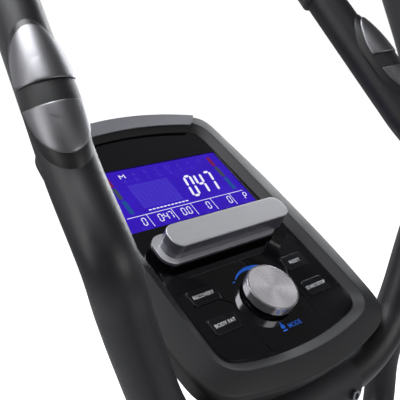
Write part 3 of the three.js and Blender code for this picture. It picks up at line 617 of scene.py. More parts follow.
def foam(name, slot, tone):
    """Closed-cell foam: open pores, a soft leathery skin and a little sheen."""
    tree = Tree(name)
    pores = tree.node("ShaderNodeTexVoronoi", {"Vector": tree.place, "Scale": 900.0}).outputs["Distance"]
    folds = tree.noise(160.0, 3.0)
    broad = tree.mottled(folds, tone, 0.8, 1.25)
    tree.shade_with(Base_Color=tree.blend(tree.between(pores, 0.3, 0), broad, shade(tone, 0.5)),
                    Roughness=tree.between(folds, 0.72, 0.88),
                    Normal=tree.bump(pores, 0.12, under=tree.bump(folds, 0.15)))
    tree.shade_with(Sheen_Weight=0.15, Sheen_Roughness=0.5)
    return Look(tree.material, slot)


def lit(name, slot, tone, strength, glow=0.0):
    """A lit part of the display under its clear cover."""
    tree = Tree(name)
    cells = tree.noise(60.0, 2.0)
    tree.shade_with(Emission_Color=tree.mottled(cells, tone, 1 - glow, 1 + glow),
                    Roughness=tree.between(cells, 0.16, 0.22))
    tree.shade_with(Base_Color=shade(tone, 0.12), Emission_Strength=strength, Specular_IOR_Level=0.3)
    return Look(tree.material, slot)


FRAME_PAINT = powder_coat("frame powder coat", "frame_paint", "17171a", 0.42)
SHELL = moulded("shell plastic", "shell_plastic", "252528", 0.52)
BEZEL = moulded("bezel plastic", "bezel_plastic", "18181a", 0.56, grain=2200.0, depth=0.015)
GLOSS = moulded("piano gloss", "gloss_panel", "060608", 0.05, grain=300.0, depth=0.002, mottle=0.3,
                spread=0.02, Coat_Weight=1.0, Coat_Roughness=0.02)
FIELD = moulded("satin key field", "gloss_panel", "0b0b0e", 0.22, grain=2600.0, depth=0.01)
SCREEN = lit("display backlight", "screen", "3c1bcb", 0.66, 0.07)
SCREEN_FAINT = lit("display idle cells", "screen", "4c38d4", 0.68)
SCREEN_WHITE = lit("display figures", "screen", "f0eeff", 0.85)
ACCENT = moulded("accent strip", "accent_plastic", "66666c", 0.46, grain=3000.0, depth=0.008, Metallic=0.2)
SILVER = brushed("brushed silver", "silver_plastic", "c2c2c6", 0.38, (25.0, 2600.0, 2600.0), Metallic=0.5)
# the top's silver made darker for the ledge's sides and flange: painted shade for the dark reflections they
# show
SILVER_PAINTED_SHADE = moulded("silver with painted shade", "silver_plastic", "56555f", 0.26, grain=3000.0, depth=0.003,
                      mottle=0.08, spread=0.03, Metallic=0.35, Coat_Weight=0.5, Coat_Roughness=0.08)
KNOB_TOP = spun("spun knob", "knob_metal", "e2dee2", 0.30, Metallic=0.65)
KNOB_SIDE = brushed("polished knob side", "knob_metal", "bab8bd", 0.16, (300.0, 300.0, 3000.0), 0.002, 0.05,
                    Metallic=0.8)
BUTTON = moulded("key cap", "button_plastic", "0e0e12", 0.28, grain=2600.0, depth=0.01)
GRIP = foam("foam grip", "foam_grip", "2a2a2e")
HOLDER = moulded("sensor holder", "foam_grip", "121214", 0.46, grain=2400.0, depth=0.01)
PLATE = brushed("sensor steel", "sensor_plate", "808083", 0.42, (2600.0, 2600.0, 60.0), 0.002, 0.05)
STEEL = brushed("turned steel", "steel", "9a9ca0", 0.28, (2000.0, 2000.0, 60.0))
IRON = moulded("cast iron", "iron", "4a4c50", 0.5, grain=500.0, depth=0.08, Metallic=0.8)
CAP = moulded("cap plastic", "cap_plastic", "1d1d20", 0.58)
RUBBER = moulded("wheel rubber", "wheel_rubber", "19191b", 0.75, grain=900.0, depth=0.06)
BELT = moulded("belt rubber", "belt_rubber", "161618", 0.7, grain=1200.0, depth=0.05)
PRINT = moulded("white print", "button_plastic", "c4c4c8", 0.5, grain=3000.0, depth=0.004)
# blue print that glows with painted light, though nothing behind it is lit
PRINT_BLUE_PAINTED_GLOW = moulded("blue print with painted glow", "gloss_panel", "1f5cc4", 0.4, grain=3000.0, depth=0.004,
                     Emission_Color=shade("1f5cc4", 1), Emission_Strength=0.25)

# ------------------------------------------------------------------ console

BEZEL_EDGE = Sizes(top=12, top_drop=10, top_half=88, shoulder_half=108, shoulder=-18,
                   mid_half=115.5, mid=-105, wide_half=118, wide=-205, low_half=115, low=-270,
                   bottom_half=78, bottom_rise=9, bottom=-310.5)
RECESS_EDGE = Sizes(top=-16, top_drop=6, top_half=68, shoulder_half=79.5, shoulder=-38,
                    mid_half=83.5, mid=-140, wide_half=85, wide=-223, low_half=85, low=-263,
                    bottom_half=62, bottom_rise=6, bottom=-283)
RIM, CHAMFER = 6.0, 9.5
STRIP = Sizes(top=7, top_drop=11.8, top_half=86.4, low=-12.3, low_drop=7, low_half=70,
              gap=1, high_w=7.6, low_w=8.2)
BEZEL_BACK, SHELL_BACK = -18, -46
GAP = 0.3
LCD = Sizes(half=77.7, top=-56.6, bottom=-130.0, face=-0.6)
LEDGE = Sizes(half=71, top=-150, bottom=-174.5, height=26.5, flange=9.8, lip=4.5, left=-77.5,
              right=60)
KNOB = Sizes(v=-230.7, radius=24.15, base=20.5, bottom=2.6, skirt=4, height=12.9)
KEY = Sizes(u=57.7, width=29, height=16, top=1.2)
KEYS = {"recovery_button": (-1, -209.1, "RECOVERY"), "reset_button": (1, -209.1, "RESET"),
        "body_fat_button": (-1, -239.2, "BODY FAT"), "start_stop_button": (1, -239.2, "START/STOP")}
REAR_SCREWS = [(-62, -40), (62, -40), (-66, -130), (66, -130), (-56, -212), (56, -212)]

# the display: each figure, caption or dot with where it stands, and each bar's colour, top and bottom
BIG_FIGURES = (("0", 13), ("4", 26), ("7", 39))
SMALL_FIGURES = (("0", -60), ("0", -41.5), ("4", -35), ("7", -29.6), ("0", -14), ("0", -7.2), ("0", 17.5),
                 ("0", 45.6), ("P", 68))
POINTS = ((-36.6, -122.4), (-36.2, -119.6), (-8.6, -125.2))
DIVIDERS = (-51, -22.5, 1.5, 27, 52.7)
CAPTIONS = (("SPEED", -62), ("TIME", -37), ("DIST", -10), ("CAL", 14), ("WATT", 40), ("PULSE", 65))
BARS = (("red", "7a1c4e", -62, -75), ("green", "40485a", -77, -91), ("teal", "1d4f96", -93, -110))

DIAL = Sizes(radius=29.8, start=math.radians(124), end=math.radians(61), thin=0.9, thick=5.4)


def bend(a, b, c, steps=16):
    t = np.linspace(0, 1, steps + 1)[:-1, None]
    return quadratic(np.array(a), np.array(b), np.array(c), t)


def spline(points, steps=16):
    p = [np.array(q, float) for q in points]
    p = [p[0], *p, p[-1]]
    t = np.linspace(0, 1, steps + 1)[:-1, None]
    spans = []
    for a, b, c, d in zip(p, p[1:], p[2:], p[3:]):
        spans.append(cubic(b, c, (c - a) / 2, (d - b) / 2, t))
    return np.concatenate(spans)


def console_outline(d, grow=0.0, count=240):
    """A console outline grown by a margin, as evenly spaced points with its joints smoothed."""
    bottom, top = d.bottom - grow, d.top + grow
    bottom_corner = (d.bottom_half, bottom + d.bottom_rise)
    top_corner = (d.top_half, top - d.top_drop)
    slope = 2 * d.bottom_rise / d.bottom_half
    low = (d.low_half + grow, d.low)
    low_bend = (low[0] - 2, bottom_corner[1] + slope * (low[0] - bottom_corner[0]) * 0.7)
    shoulder = (d.shoulder_half + grow, d.shoulder)
    right = np.concatenate((
        bend((0, bottom), (bottom_corner[0] / 2, bottom), bottom_corner),
        bend(bottom_corner, low_bend, low),
        spline([low, (d.wide_half + grow, d.wide), (d.mid_half + grow, d.mid), shoulder]),
        bend(shoulder, (shoulder[0] - 2, top_corner[1] - 1), top_corner),
        bend(top_corner, (top_corner[0] / 2, top), (0, top)),
        [(0, top)]))
    whole = np.concatenate((right, right[-2:0:-1] * (-1, 1)))
    loop = np.concatenate((whole, whole[:1]))
    reach = np.concatenate(([0], np.cumsum(np.linalg.norm(np.diff(loop, axis=0), axis=1))))
    at = np.arange(count) / count * reach[-1]
    even = np.column_stack([np.interp(at, reach, loop[:, k]) for k in (0, 1)])
    for _ in range(3):
        even = (np.roll(even, 1, axis=0) + 2 * even + np.roll(even, -1, axis=0)) / 4
    return even


def bezel_ring(grow, w):
    return at_height(console_outline(BEZEL_EDGE, grow), w)


def recess_ring(grow, w):
    return at_height(console_outline(RECESS_EDGE, grow), w)


def top_edge(d, u, grow=0.0):
    """How high an outline's bowed top edge is at u."""
    return d.top + grow - d.top_drop * (u / d.top_half) ** 2


def key_outline(side, v, margin=0.0):
    u = side * KEY.u
    half_width, half_height = KEY.width / 2 + margin, KEY.height / 2 + margin
    return rounded_rectangle(u - half_width, u + half_width, v - half_height, v + half_height, 3)


def build_bezel():
    outer, crest = bezel_ring(-1.5, 0), recess_ring(CHAMFER, RIM)
    crown = (outer + crest) / 2 + (0, 0, 0.5)
    rings = [bezel_ring(-2, BEZEL_BACK), bezel_ring(0, -3), outer, crown, crest, recess_ring(0, 0.4),
             recess_ring(0, -4), bezel_ring(-9, -12), bezel_ring(-6, BEZEL_BACK)]
    shape = skin(fillet(rings, [0.6, 2, 1.6, 12, 0.9, 0.4, 0.5, 1, 0.6], 4, closed=True), wrap=True)
    finished("console_bezel", shape, BEZEL, PANEL)


def raised(lift):
    """The console outline with its lower end pulled up."""
    edge = Sizes(**vars(BEZEL_EDGE))
    edge.bottom += lift
    edge.low += lift
    edge.wide += lift * 0.6
    return edge


def build_rear_shell():
    def ring(lift, grow, w):
        return at_height(console_outline(raised(lift), grow), w)
    top = BEZEL_BACK - GAP
    rings = [ring(56, -48, SHELL_BACK), ring(50, -38, SHELL_BACK), ring(38, -19, SHELL_BACK + 9),
             ring(22, -6, top - 6), bezel_ring(-2.5, top), bezel_ring(-8, top)]
    finished("console_rear_shell", skin(fillet(rings, [0, 5, 8, 6, 0.6, 0], 5)), SHELL, PANEL)
    slots = [slab((u - 1.4, u + 1.4), (-92, -62), (SHELL_BACK - 0.8, SHELL_BACK + 1), 0.5, 1.3)
             for u in np.arange(-27, 28, 6.0)]
    detail("speaker_slots", merge(*slots), CAP, "console_rear_shell", PANEL)
    screw = lathe([(0, -0.9), (1.4, -1.6), (3.4, -1.4), (3.8, -0.8), (3.8, 1), (0, 1)], 32, 0.2)
    for k, (u, v) in enumerate(REAR_SCREWS, 1):
        detail(f"rear_shell_screw_{k}", shifted(screw, u, v, SHELL_BACK), STEEL, "console_rear_shell", PANEL)


def build_faceplate():
    margin = 0.8
    window = rounded_rectangle(-LCD.half - margin, LCD.half + margin, LCD.bottom - margin,
                               LCD.top + margin, 2)
    holes = [window, circle(0, KNOB.v, 4.2)] + [key_outline(side, v, 0.4) for side, v, _ in KEYS.values()]
    shape = plate([console_outline(RECESS_EDGE, -0.5), *holes], -3, 0, 0.25)
    finished("console_faceplate", shape, GLOSS, PANEL)


def build_accent_strip():
    rings = []
    for s in np.linspace(1, -1, 81):
        high_u, low_u = s * STRIP.top_half, s * STRIP.low_half
        crest_u = (high_u + low_u) / 2
        high_v = top_edge(STRIP, high_u)
        low_v = STRIP.low - STRIP.low_drop * s * s
        crest_v = top_edge(RECESS_EDGE, crest_u, CHAMFER)
        edge_v = top_edge(BEZEL_EDGE, high_u, -1.5)
        high_w = RIM * (edge_v - high_v) / (edge_v - crest_v) + STRIP.gap
        section = [(low_u, low_v, RIM + STRIP.gap), (low_u, low_v, STRIP.low_w),
                   (high_u, high_v, STRIP.high_w), (high_u, high_v, high_w),
                   (crest_u, crest_v, RIM + STRIP.gap)]
        rings.append(np.array(fillet(section, [0.3, 0.5, 2.0, 0.5, 1], 3, closed=True)))
    finished("accent_strip", skin(rings), ACCENT, PANEL)


def segment(x, y, length, half, upright):
    """One stroke of a seven-segment figure, pointed at both ends."""
    far = length - half
    points = [(0, 0), (half, -half), (far, -half), (length, 0), (far, half), (half, half)]
    turned = [(-b, a) if upright else (a, b) for a, b in points]
    return np.array(turned) + (x, y)


FIGURES = {"0": "abcdef", "1": "bc", "4": "fgbc", "7": "abc", "P": "abefg"}


def seven_segment(figure, x, y, width, height, stroke, depth, lean=0.2):
    """A figure with its lower left corner at x and y, leaning a little to the right."""
    gap, half = stroke * 0.18, stroke / 2
    middle = height / 2
    places = {"a": (0, height, False), "g": (0, middle, False), "d": (0, 0, False),
              "f": (0, middle, True), "e": (0, 0, True), "b": (width, middle, True), "c": (width, 0, True)}
    strokes = []
    for name in FIGURES[figure]:
        sx, sy, upright = places[name]
        long = (middle if upright else width) - 2 * gap
        start = (sx, sy + gap) if upright else (sx + gap, sy)
        outline = segment(*start, long, half, upright)
        outline[:, 0] += outline[:, 1] * lean
        strokes.append(plate([outline + (x, y)], *depth))
    return merge(*strokes)


def build_display():
    def shown(name, look, *shapes):
        detail(f"display_{name}", merge(*shapes), look, "lcd_module", PANEL, weighted=False)
    glass = rounded_rectangle(-LCD.half, LCD.half, LCD.bottom, LCD.top, 1.5)
    finished("lcd_module", plate([glass], -9, LCD.face, 0.25), SCREEN, PANEL)
    ink = (LCD.face + 0.01, LCD.face + 0.07)
    big = [seven_segment(f, x, -106.2, 7.6, 25.6, 2.8, ink) for f, x in BIG_FIGURES]
    small = [seven_segment(f, x, -125.2, 3.8, 8.2, 0.95, ink, 0.12) for f, x in SMALL_FIGURES]
    points = [slab((x, x + 0.9), (y, y + 0.9), ink) for x, y in POINTS]
    rule = slab((-72, 72), (-114, -113.4), ink)
    dividers = [slab((x - 0.3, x + 0.3), (-128.6, -113.6), ink) for x in DIVIDERS]
    baseline = [slab((x, x + 3.2), (-110.4, -109.2), ink) for x in np.arange(-45, 0, 4.4)]
    shown("figures", SCREEN_WHITE, *big, *small, *points, rule, *dividers, *baseline)
    cells = [slab((x, x + 4.3), (y, y + 2.3), ink) for x in np.arange(-48, -1, 4.75)
             for y in np.arange(-106.8, -77, 2.75)]
    icons = [lettering(text, (u, v), 4.6, ink) for v, start in ((-63.8, -32), (-71.4, -46))
             for text, u in zip("ABCDEFG", np.arange(start, 70, 13.8))]
    captions = [lettering(text, (x, -128.4), 1.7, ink) for text, x in CAPTIONS]
    shown("idle_cells", SCREEN_FAINT, *cells, *icons, *captions)
    shown("program_mark", SCREEN_WHITE, lettering("M", (-45.6, -64.8), 4.8, ink, 6.5))
    for name, tone, top, bottom in BARS:
        bars = [slab((x - 2.3, x + 2.3), (bottom, top), ink) for x in (-63, 65)]
        shown(f"{name}_bars", lit(f"display {name}", "screen", tone, 0.8), *bars)


def build_ledge():
    half, low, high, flange = LEDGE.half, LEDGE.bottom, LEDGE.top, LEDGE.flange

    def ring(left, right, grow, w, radius=10.5):
        return at_height(rounded_rectangle(left, right, low - grow, high + grow, radius, 12), w)

    def lip_ring(inset, w):
        """An outline of the flange, drawn in from its rim."""
        left, right = LEDGE.left + inset, LEDGE.right - inset
        return ring(left, right, LEDGE.lip - inset, w, min(13, 13.2 - inset))
    foot = [ring(-half + 3, LEDGE.right - 8, -1, w, 9) for w in (GAP, flange - 3)]
    foot += [lip_ring(0, flange - 3), lip_ring(0, flange)]
    bar = [ring(-half, half, 0, flange - 1), ring(-half, half, 0, LEDGE.height - 1.3)]
    shape = united(skin(fillet(foot, [0, 0.4, 0.8, 0.9], 4)), skin(fillet(bar, [1, 0], 4)))
    # the sides and flange take the silver with painted shade
    finished("tablet_ledge", shape, SILVER_PAINTED_SHADE, PANEL)
    cap = [ring(-half, half, 0, LEDGE.height - 1.25), ring(-half, half, 0, LEDGE.height),
           ring(-half + 3, half - 3, -3, LEDGE.height, 7.5)]
    detail("ledge_top_insert", skin(fillet(cap, [0, 1.0, 0], 4)), SILVER, "tablet_ledge", PANEL)
    rim = [lip_ring(0.2, flange - 0.6), lip_ring(0.2, flange + 0.15), lip_ring(1.6, flange + 0.15)]
    detail("ledge_flange_rim", skin(fillet(rim, [0, 0.3, 0], 3)), SILVER, "tablet_ledge", PANEL)


def build_keys():
    for node, (side, v, word) in KEYS.items():
        finished(node, plate([key_outline(side, v)], -4, KEY.top, 0.7, 4), BUTTON, PANEL)
        wide = min(KEY.width - 3, 2.85 * len(word))
        ink = (KEY.top + 0.01, KEY.top + 0.05)
        letters = lettering(word, (side * KEY.u, v), 3.5, ink, wide, 0.01)
        detail(node.replace("button", "word"), letters, PRINT, node, PANEL, weighted=False)


def field_outline(side):
    """The raised satin field round the keys of one side."""
    inner = [(36, -279), (37, -225), (50, -194), (80, -176)]
    rim = [p for p in console_outline(RECESS_EDGE, -3) if p[0] > 37 and p[1] < -178]
    outline = np.array(inner[:1] + rim + inner[:0:-1])
    return outline if side > 0 else outline[::-1] * (-1, 1)


def build_key_fields():
    for name, side in SIDES.items():
        holes = [key_outline(side, v, 0.5) for key_side, v, _ in KEYS.values() if key_side == side]
        detail(f"key_field_{name}", plate([field_outline(side), *holes], 0.03, 0.5, 0.12), FIELD,
               "console_faceplate", PANEL)


def build_knob():
    bottom, top, radius = KNOB.bottom, KNOB.height, KNOB.radius
    place = PANEL @ place_at((0, KNOB.v, 0))
    side = lathe([(3.4, 6.6), (3.4, bottom), (KNOB.base, bottom), (KNOB.base, KNOB.skirt),
                  (radius, KNOB.skirt), (radius, top - 0.3), (radius - 0.5, top), (radius - 1.4, top),
                  (radius - 1.5, top - 0.35), (3.4, top - 0.35)], 128, 0.3, ring=True)
    finished("mode_knob", side, KNOB_SIDE, place)
    rim = radius - 1.55
    face = lathe([(0, top - 0.6), (rim, top - 0.6), (rim, top - 0.1), (0, top - 0.1)], 128, [0, 0.1, 0.1, 0])
    detail("knob_face", face, KNOB_TOP, "mode_knob", place)
    refined("encoder_shaft", STEEL, 0.3)


def build_print():
    """The dial's arc, its minus mark, and the pointing finger over the word for the knob."""
    angles = np.linspace(DIAL.start, DIAL.end, 33)
    swell = np.interp(angles, [DIAL.end, DIAL.start], [DIAL.thick, DIAL.thin])
    around = np.column_stack((np.cos(angles), np.sin(angles)))
    outline = np.concatenate((around * DIAL.radius, (around * (DIAL.radius + swell)[:, None])[::-1]))
    ink = (0.01, 0.06)
    sweep = shifted(plate([outline], *ink), 0, KNOB.v)
    minus = slab((-22.4, -18.8), (-208.1, -207.2), ink)
    finger = [plate([rounded_rectangle(*sides)], *ink) for sides in (
        (-9.6, -8.2, -262.4, -257.4, 0.7), (-11, -6.8, -263.8, -260, 1.2), (-11.8, -6.4, -266.4, -265, 0.6))]
    word = lettering("MODE", (4.6, -263.6), 4.3, ink, 15.6, 0.008)
    # the dial's blue print glows with painted light
    detail("dial_print", merge(sweep, minus, *finger, word), PRINT_BLUE_PAINTED_GLOW, "console_faceplate", PANEL,
           weighted=False)


# ------------------------------------------------------------------ fixed handlebar and pulse sensors

PULSE = Sizes(centre=113, half=68, radius=19.4, offset=7.5, thick=1.3, turn=math.radians(13))
PLATE_SPREAD = math.radians(60)
PLATE_BOW = 6
# each sensor plate's outline and the middle that it is built out from
PLATES = {"upper": ((3, 50, 2.3, 0.5), (0, 22)), "lower": ((-13, -47, 2.0, 0.6), (0, -26))}
HOLDER_SPREAD = math.radians(80)
HOLDER_FLAT = 0.94      # share of the holder's width before its edge turns down
FIXED_GRIP = Sizes(stations=(205, 245, 285, LEG_LENGTH - 1), thick=3.4)


def mirrored(points, sign):
    return [np.array((sign * p[0], p[1], p[2])) for p in points]


def leg_frame(distance, sign):
    """A frame whose Z axis runs up the leg and whose -Y side faces the user."""
    up = Vector(LEG_WAY * (sign, 1, 1))
    right = up.cross(Vector((0, 0, 1))).normalized()
    forward = up.cross(right)
    place = Matrix((right, forward, up)).transposed().to_4x4()
    place.translation = Vector(leg_point(distance) * (sign, 1, 1)) * MM
    return place


def egg_reach(angle, z, extra):
    """How far the sensor's egg reaches from the leg's axis, at an angle from the user's side."""
    radius, half = PULSE.radius + extra, PULSE.half + extra
    inside = radius ** 2 * (1 - (z / half) ** 2) - (PULSE.offset * np.sin(angle)) ** 2
    return PULSE.offset * np.cos(angle) + np.sqrt(np.maximum(inside, 0))


def on_egg(angle, z, reach):
    return np.column_stack((reach * np.sin(angle), -reach * np.cos(angle), np.broadcast_to(z, angle.shape)))


def holder_shape():
    inner = BAR_RADIUS + 0.1
    tip = PULSE.half * math.sqrt(1 - ((inner - PULSE.offset) / PULSE.radius) ** 2)
    across = np.sin(np.linspace(-math.pi / 2, math.pi / 2, 49))
    rings = []
    for z in tip * np.sin(np.linspace(-math.pi / 2, math.pi / 2, 65)):
        egg = PULSE.radius ** 2 * (1 - (z / PULSE.half) ** 2)
        cosine = (inner ** 2 + PULSE.offset ** 2 - egg) / (2 * inner * PULSE.offset)
        angle = across * min(math.acos(max(-1, min(1, cosine))), HOLDER_SPREAD)
        edge = np.clip((np.abs(across) - HOLDER_FLAT) / (1 - HOLDER_FLAT), 0, 1)
        reach = inner + np.maximum(egg_reach(angle, z, 0) - inner, 0) * np.sqrt(1 - edge ** 2)
        outside = on_egg(angle, z, reach)
        inside = on_egg(angle[::-1][1:-1], z, np.full(len(angle) - 2, inner))
        rings.append(np.concatenate((outside, inside)))
    return skin(rings)


def sensor_outline(low, high, power, blunt):
    """A plate's edge as angle and height: bowed across at low, narrowing to a tip at high."""
    along = np.sin(np.linspace(0, math.pi / 2, 25))
    half = PLATE_SPREAD * (1 - along ** power) ** blunt
    height = low + (high - low) * along
    right = np.column_stack((half, height))
    left = np.column_stack((-half, height))[-2::-1]
    base = np.column_stack((np.linspace(-PLATE_SPREAD, PLATE_SPREAD, 25)[1:-1], np.full(23, float(low))))
    outline = np.concatenate((right, left, base))
    near_base = np.clip(1 - np.abs(outline[:, 1] - low) / 30, 0, 1)
    outline[:, 1] += PLATE_BOW * (outline[:, 0] / PLATE_SPREAD) ** 2 * near_base
    return outline


def sensor_shape(outline, middle):
    """A thin steel shell over the egg, turned down at its edge."""
    shares = [0, 0.15, 0.3, 0.45, 0.6, 0.7, 0.79, 0.87, 0.93, 0.97, 0.99, 1]
    falls = [0] * 8 + [0.02, 0.12, 0.35, 0.8]

    def ring(share, above):
        angle, height = (middle + (outline - middle) * share).T
        return on_egg(angle, height, egg_reach(angle, height, above))
    inside = [ring(share, 0.3) for share in shares]
    outside = [ring(share, PULSE.thick - fall) for share, fall in zip(shares[::-1], falls[::-1])]
    return skin(inside + outside, capped=False)


def build_handlebar():
    path = [*mirrored(BAR_RIGHT, -1)[::-1], BAR_CENTRE, *BAR_RIGHT]
    finished("u_handlebar", tube(curve_through(path), BAR_RADIUS, 64, 1.5), FRAME_PAINT, weighted=False)
    for side, sign in SIDES.items():
        place = leg_frame(PULSE.centre, sign) @ Matrix.Rotation(sign * PULSE.turn, 4, "Z")
        finished(f"pulse_holder_{side}", holder_shape(), HOLDER, place, weighted=False)
        for name, (edge, middle) in PLATES.items():
            shape = sensor_shape(sensor_outline(*edge), middle)
            finished(f"pulse_plate_{name}_{side}", shape, PLATE, place, weighted=False)
        path = curve_through(mirrored([leg_point(d) for d in FIXED_GRIP.stations], sign), 4)
        foam_tube = tube(path, BAR_RADIUS + FIXED_GRIP.thick, 64, 2.5)
        grip = finished(f"fixed_grip_{side}", foam_tube, GRIP, weighted=False)
        end = leg_frame(LEG_LENGTH, sign)
        plug = lathe([(0, -4), (15.2, -4), (15.2, 0.4), (17.8, 0.4), (16.8, 3), (9, 4.4), (0, 4.8)], 64, 0.6)
        detail(f"fixed_grip_plug_{side}", plug, CAP, f"fixed_grip_{side}", end)


# ------------------------------------------------------------------ mast, clamp and base


CLAMP = Sizes(half=58, bore=18.6, radius=23.6, sleeve=40)
BOOT = Sizes(half=52, rear=439, front=606,
             # each level's height, and how far its sides and its ends come in
             levels=[(BEAM_TOP, 0, 0), (112, 0, 0), (121, 2, 3), (128, 9, 13), (160, 11, 22), (186, 13, 27),
                        (190, 16, 32)])
STABILISER = Sizes(height=38, radius=25)


def on_post(z):
    return POST_FOOT + POST_AXIS * (z - POST_FOOT[2]) / POST_AXIS[2]


def bolt(radius, height):
    """A cap screw's head with a hexagon-like socket, its underside at z = 0."""
    floor = height * 0.45
    return lathe([(0, 0), (radius, 0), (radius, height), (radius * 0.55, height), (radius * 0.5, floor),
                  (0, floor)], 36, [0, 0.3, 0.5, 0.2, 0.2, 0])


def build_mast():
    finished("front_post", rod(on_post(106), POST_TOP, 34, 72, 1), FRAME_PAINT, weighted=False)
    y, z = BAR_CENTRE[1:]
    half_ring = [(CLAMP.bore, -CLAMP.half), (CLAMP.radius, -CLAMP.half)]
    ring = lathe_x(both_ends(half_ring), y, z, sides=72, radius=1.2, ring=True)
    sleeve = rod(POST_TOP - POST_AXIS * 42, POST_TOP + POST_AXIS * 12, CLAMP.sleeve, 72, 2.5)
    neck = slab((-30, 30), (-278, -212), (-100, SHELL_BACK - 0.3), 2, 8)
    in_mm = Matrix.Translation(PANEL_TOP) @ PANEL.to_3x3().to_4x4()
    finished("handlebar_clamp", united(ring, sleeve, moved(neck, in_mm)), SHELL)
    for k, x in enumerate((-44, 44), 1):
        detail(f"clamp_bolt_{k}", bolt(5.2, 4.5), STEEL, "handlebar_clamp",
               place_at((x, y - 23.2, z), math.pi / 2))
    rings = []
    for level, side_in, end_in in BOOT.levels:
        lean = on_post(level)[1] - on_post(BEAM_TOP)[1]
        half = BOOT.half - side_in
        outline = rounded_rectangle(-half, half, BOOT.rear + end_in + lean * 0.5,
                                    BOOT.front - end_in + lean, 33, 12)
        rings.append(at_height(outline, level))
    finished("post_boot", skin(fillet(rings, [0, 1, 3, 6, 8, 2, 0], 4)), SHELL)
    for side, sign in SIDES.items():
        detail(f"boot_screw_{side}", bolt(4, 2.4), STEEL, "post_boot",
               place_at((sign * 51.6, 520, 113), sign * math.pi / 2, "Y"))


def build_beam():
    low, high = box_of("main_beam")

    def section(y, inset=0.0):
        outline = rounded_rectangle(-high[0] + inset, high[0] - inset, low[2] + inset, high[2] - inset, 5, 6)
        return np.column_stack((outline[:, 0], np.full(len(outline), float(y)), outline[:, 1]))
    finished("main_beam", skin([section(low[1]), section(high[1])]), FRAME_PAINT)
    for name, y, tip in (("rear", low[1], low[1] - 4), ("front", high[1], high[1] + 4)):
        plug = skin(fillet([section(y), section(tip), section(tip, 4)], [0, 1.8, 0], 4))
        detail(f"beam_plug_{name}", plug, CAP, "main_beam")


def wheel_forks(y):
    """The four ears and two pins that carry the transport wheels, on a bar at y."""
    shapes = []
    for side in SIDES:
        wheel = centre_of(f"transport_wheel_{side}")
        ear = rounded_rectangle(y + 18, wheel[1] + 12, wheel[2] - 12, wheel[2] + 12, 6)
        shapes += [moved(plate([ear], x - 2, x + 2, 0.6), ALONG_X) for x in (wheel[0] - 14, wheel[0] + 14)]
        shapes.append(rod(wheel - (17, 0, 0), wheel + (17, 0, 0), 5, 32, 0.8))
    return shapes


def build_stabilisers():
    for end in ("front", "rear"):
        low, high = box_of(f"{end}_end_cap_right")
        y, z = (low[1] + high[1]) / 2, STABILISER.height
        bar = rod((-high[0] + 30, y, z), (high[0] - 30, y, z), STABILISER.radius, 72)
        finished(f"{end}_stabiliser", united(bar, *wheel_forks(y)) if end == "front" else bar, FRAME_PAINT)
        levels = [(low[0], 0.8), (low[0] + 1, 0), (high[0] - 7, 0), (high[0] - 1.5, 3), (high[0], 9)]
        rings = []
        for x, inset in levels:
            outline = rounded_rectangle(low[1] + inset, high[1] - inset, low[2] + min(inset, 2),
                                        high[2] - inset, 12, 8)
            rings.append(at_x(outline, x))
        cap = skin(fillet(rings, [0, 1, 4, 3, 0], 4))
        button = rod((high[0] - 4, y, z + 4), (high[0] + 0.4, y, z + 4), 9, 48, 0.4)
        on_both_sides(finished, f"{end}_end_cap", cap, CAP)
        on_both_sides(detail, f"{end}_cap_button", button, RUBBER, f"{end}_end_cap")


def build_wheels():
    profile = both_ends([(5.5, -9), (9, -10), (11, -10), (12, -7), (19, -7), (21, -10), (24, -10), (27, -7),
                         (27, -2), (26.2, -1.2)])
    wheel = moved(lathe(profile, sides=72, radius=0.6, ring=True), ALONG_X)
    for side in SIDES:
        finished(f"transport_wheel_{side}", shifted(wheel, *centre_of(f"transport_wheel_{side}")), RUBBER)


# ------------------------------------------------------------------ housing and drive


HOUSING = Sizes(crank_radius=215, flywheel_radius=148, face=62.0, edge=14.0, wall=3.0)
INSIDE_NODES = (("rear_frame", FRAME_PAINT, 0.8), ("drive_belt", BELT, 0.3), ("brake_magnets", IRON, 0.5),
                ("flywheel", IRON, 0.8), ("flywheel_axle", STEEL, 0.5), ("drive_pulley", SHELL, 0.5),
                ("crank_axle", STEEL, 0.5), ("crank_bearing_right", STEEL, 0.5),
                ("crank_bearing_left", STEEL, 0.5))   # node, look, how far its corners are softened


def housing_outline():
    """The drive housing from the side, flat where it stands on the beam."""
    outline = belted(CRANK[1:], HOUSING.crank_radius, FLYWHEEL[1:], HOUSING.flywheel_radius, 64)
    outline[:, 1] = np.maximum(outline[:, 1], BEAM_TOP)
    keep = [i for i in range(len(outline)) if np.linalg.norm(outline[i] - outline[i - 1]) > 0.05]
    return outline[keep]


def right_housing():
    outline, edge, wall = housing_outline(), HOUSING.edge, HOUSING.wall
    outside = [(0.15, 0)]
    for a in np.linspace(0, math.pi / 2, 7):
        outside.append((HOUSING.face - edge * (1 - math.sin(a)), edge * (1 - math.cos(a))))
    inside = [(x - (wall if k else 0), inset + wall) for k, (x, inset) in enumerate(outside)]
    rings = [at_height(offset(outline, -inset), x) for x, inset in [*inside[::-1], *outside]]
    return moved(skin(rings), ALONG_X)


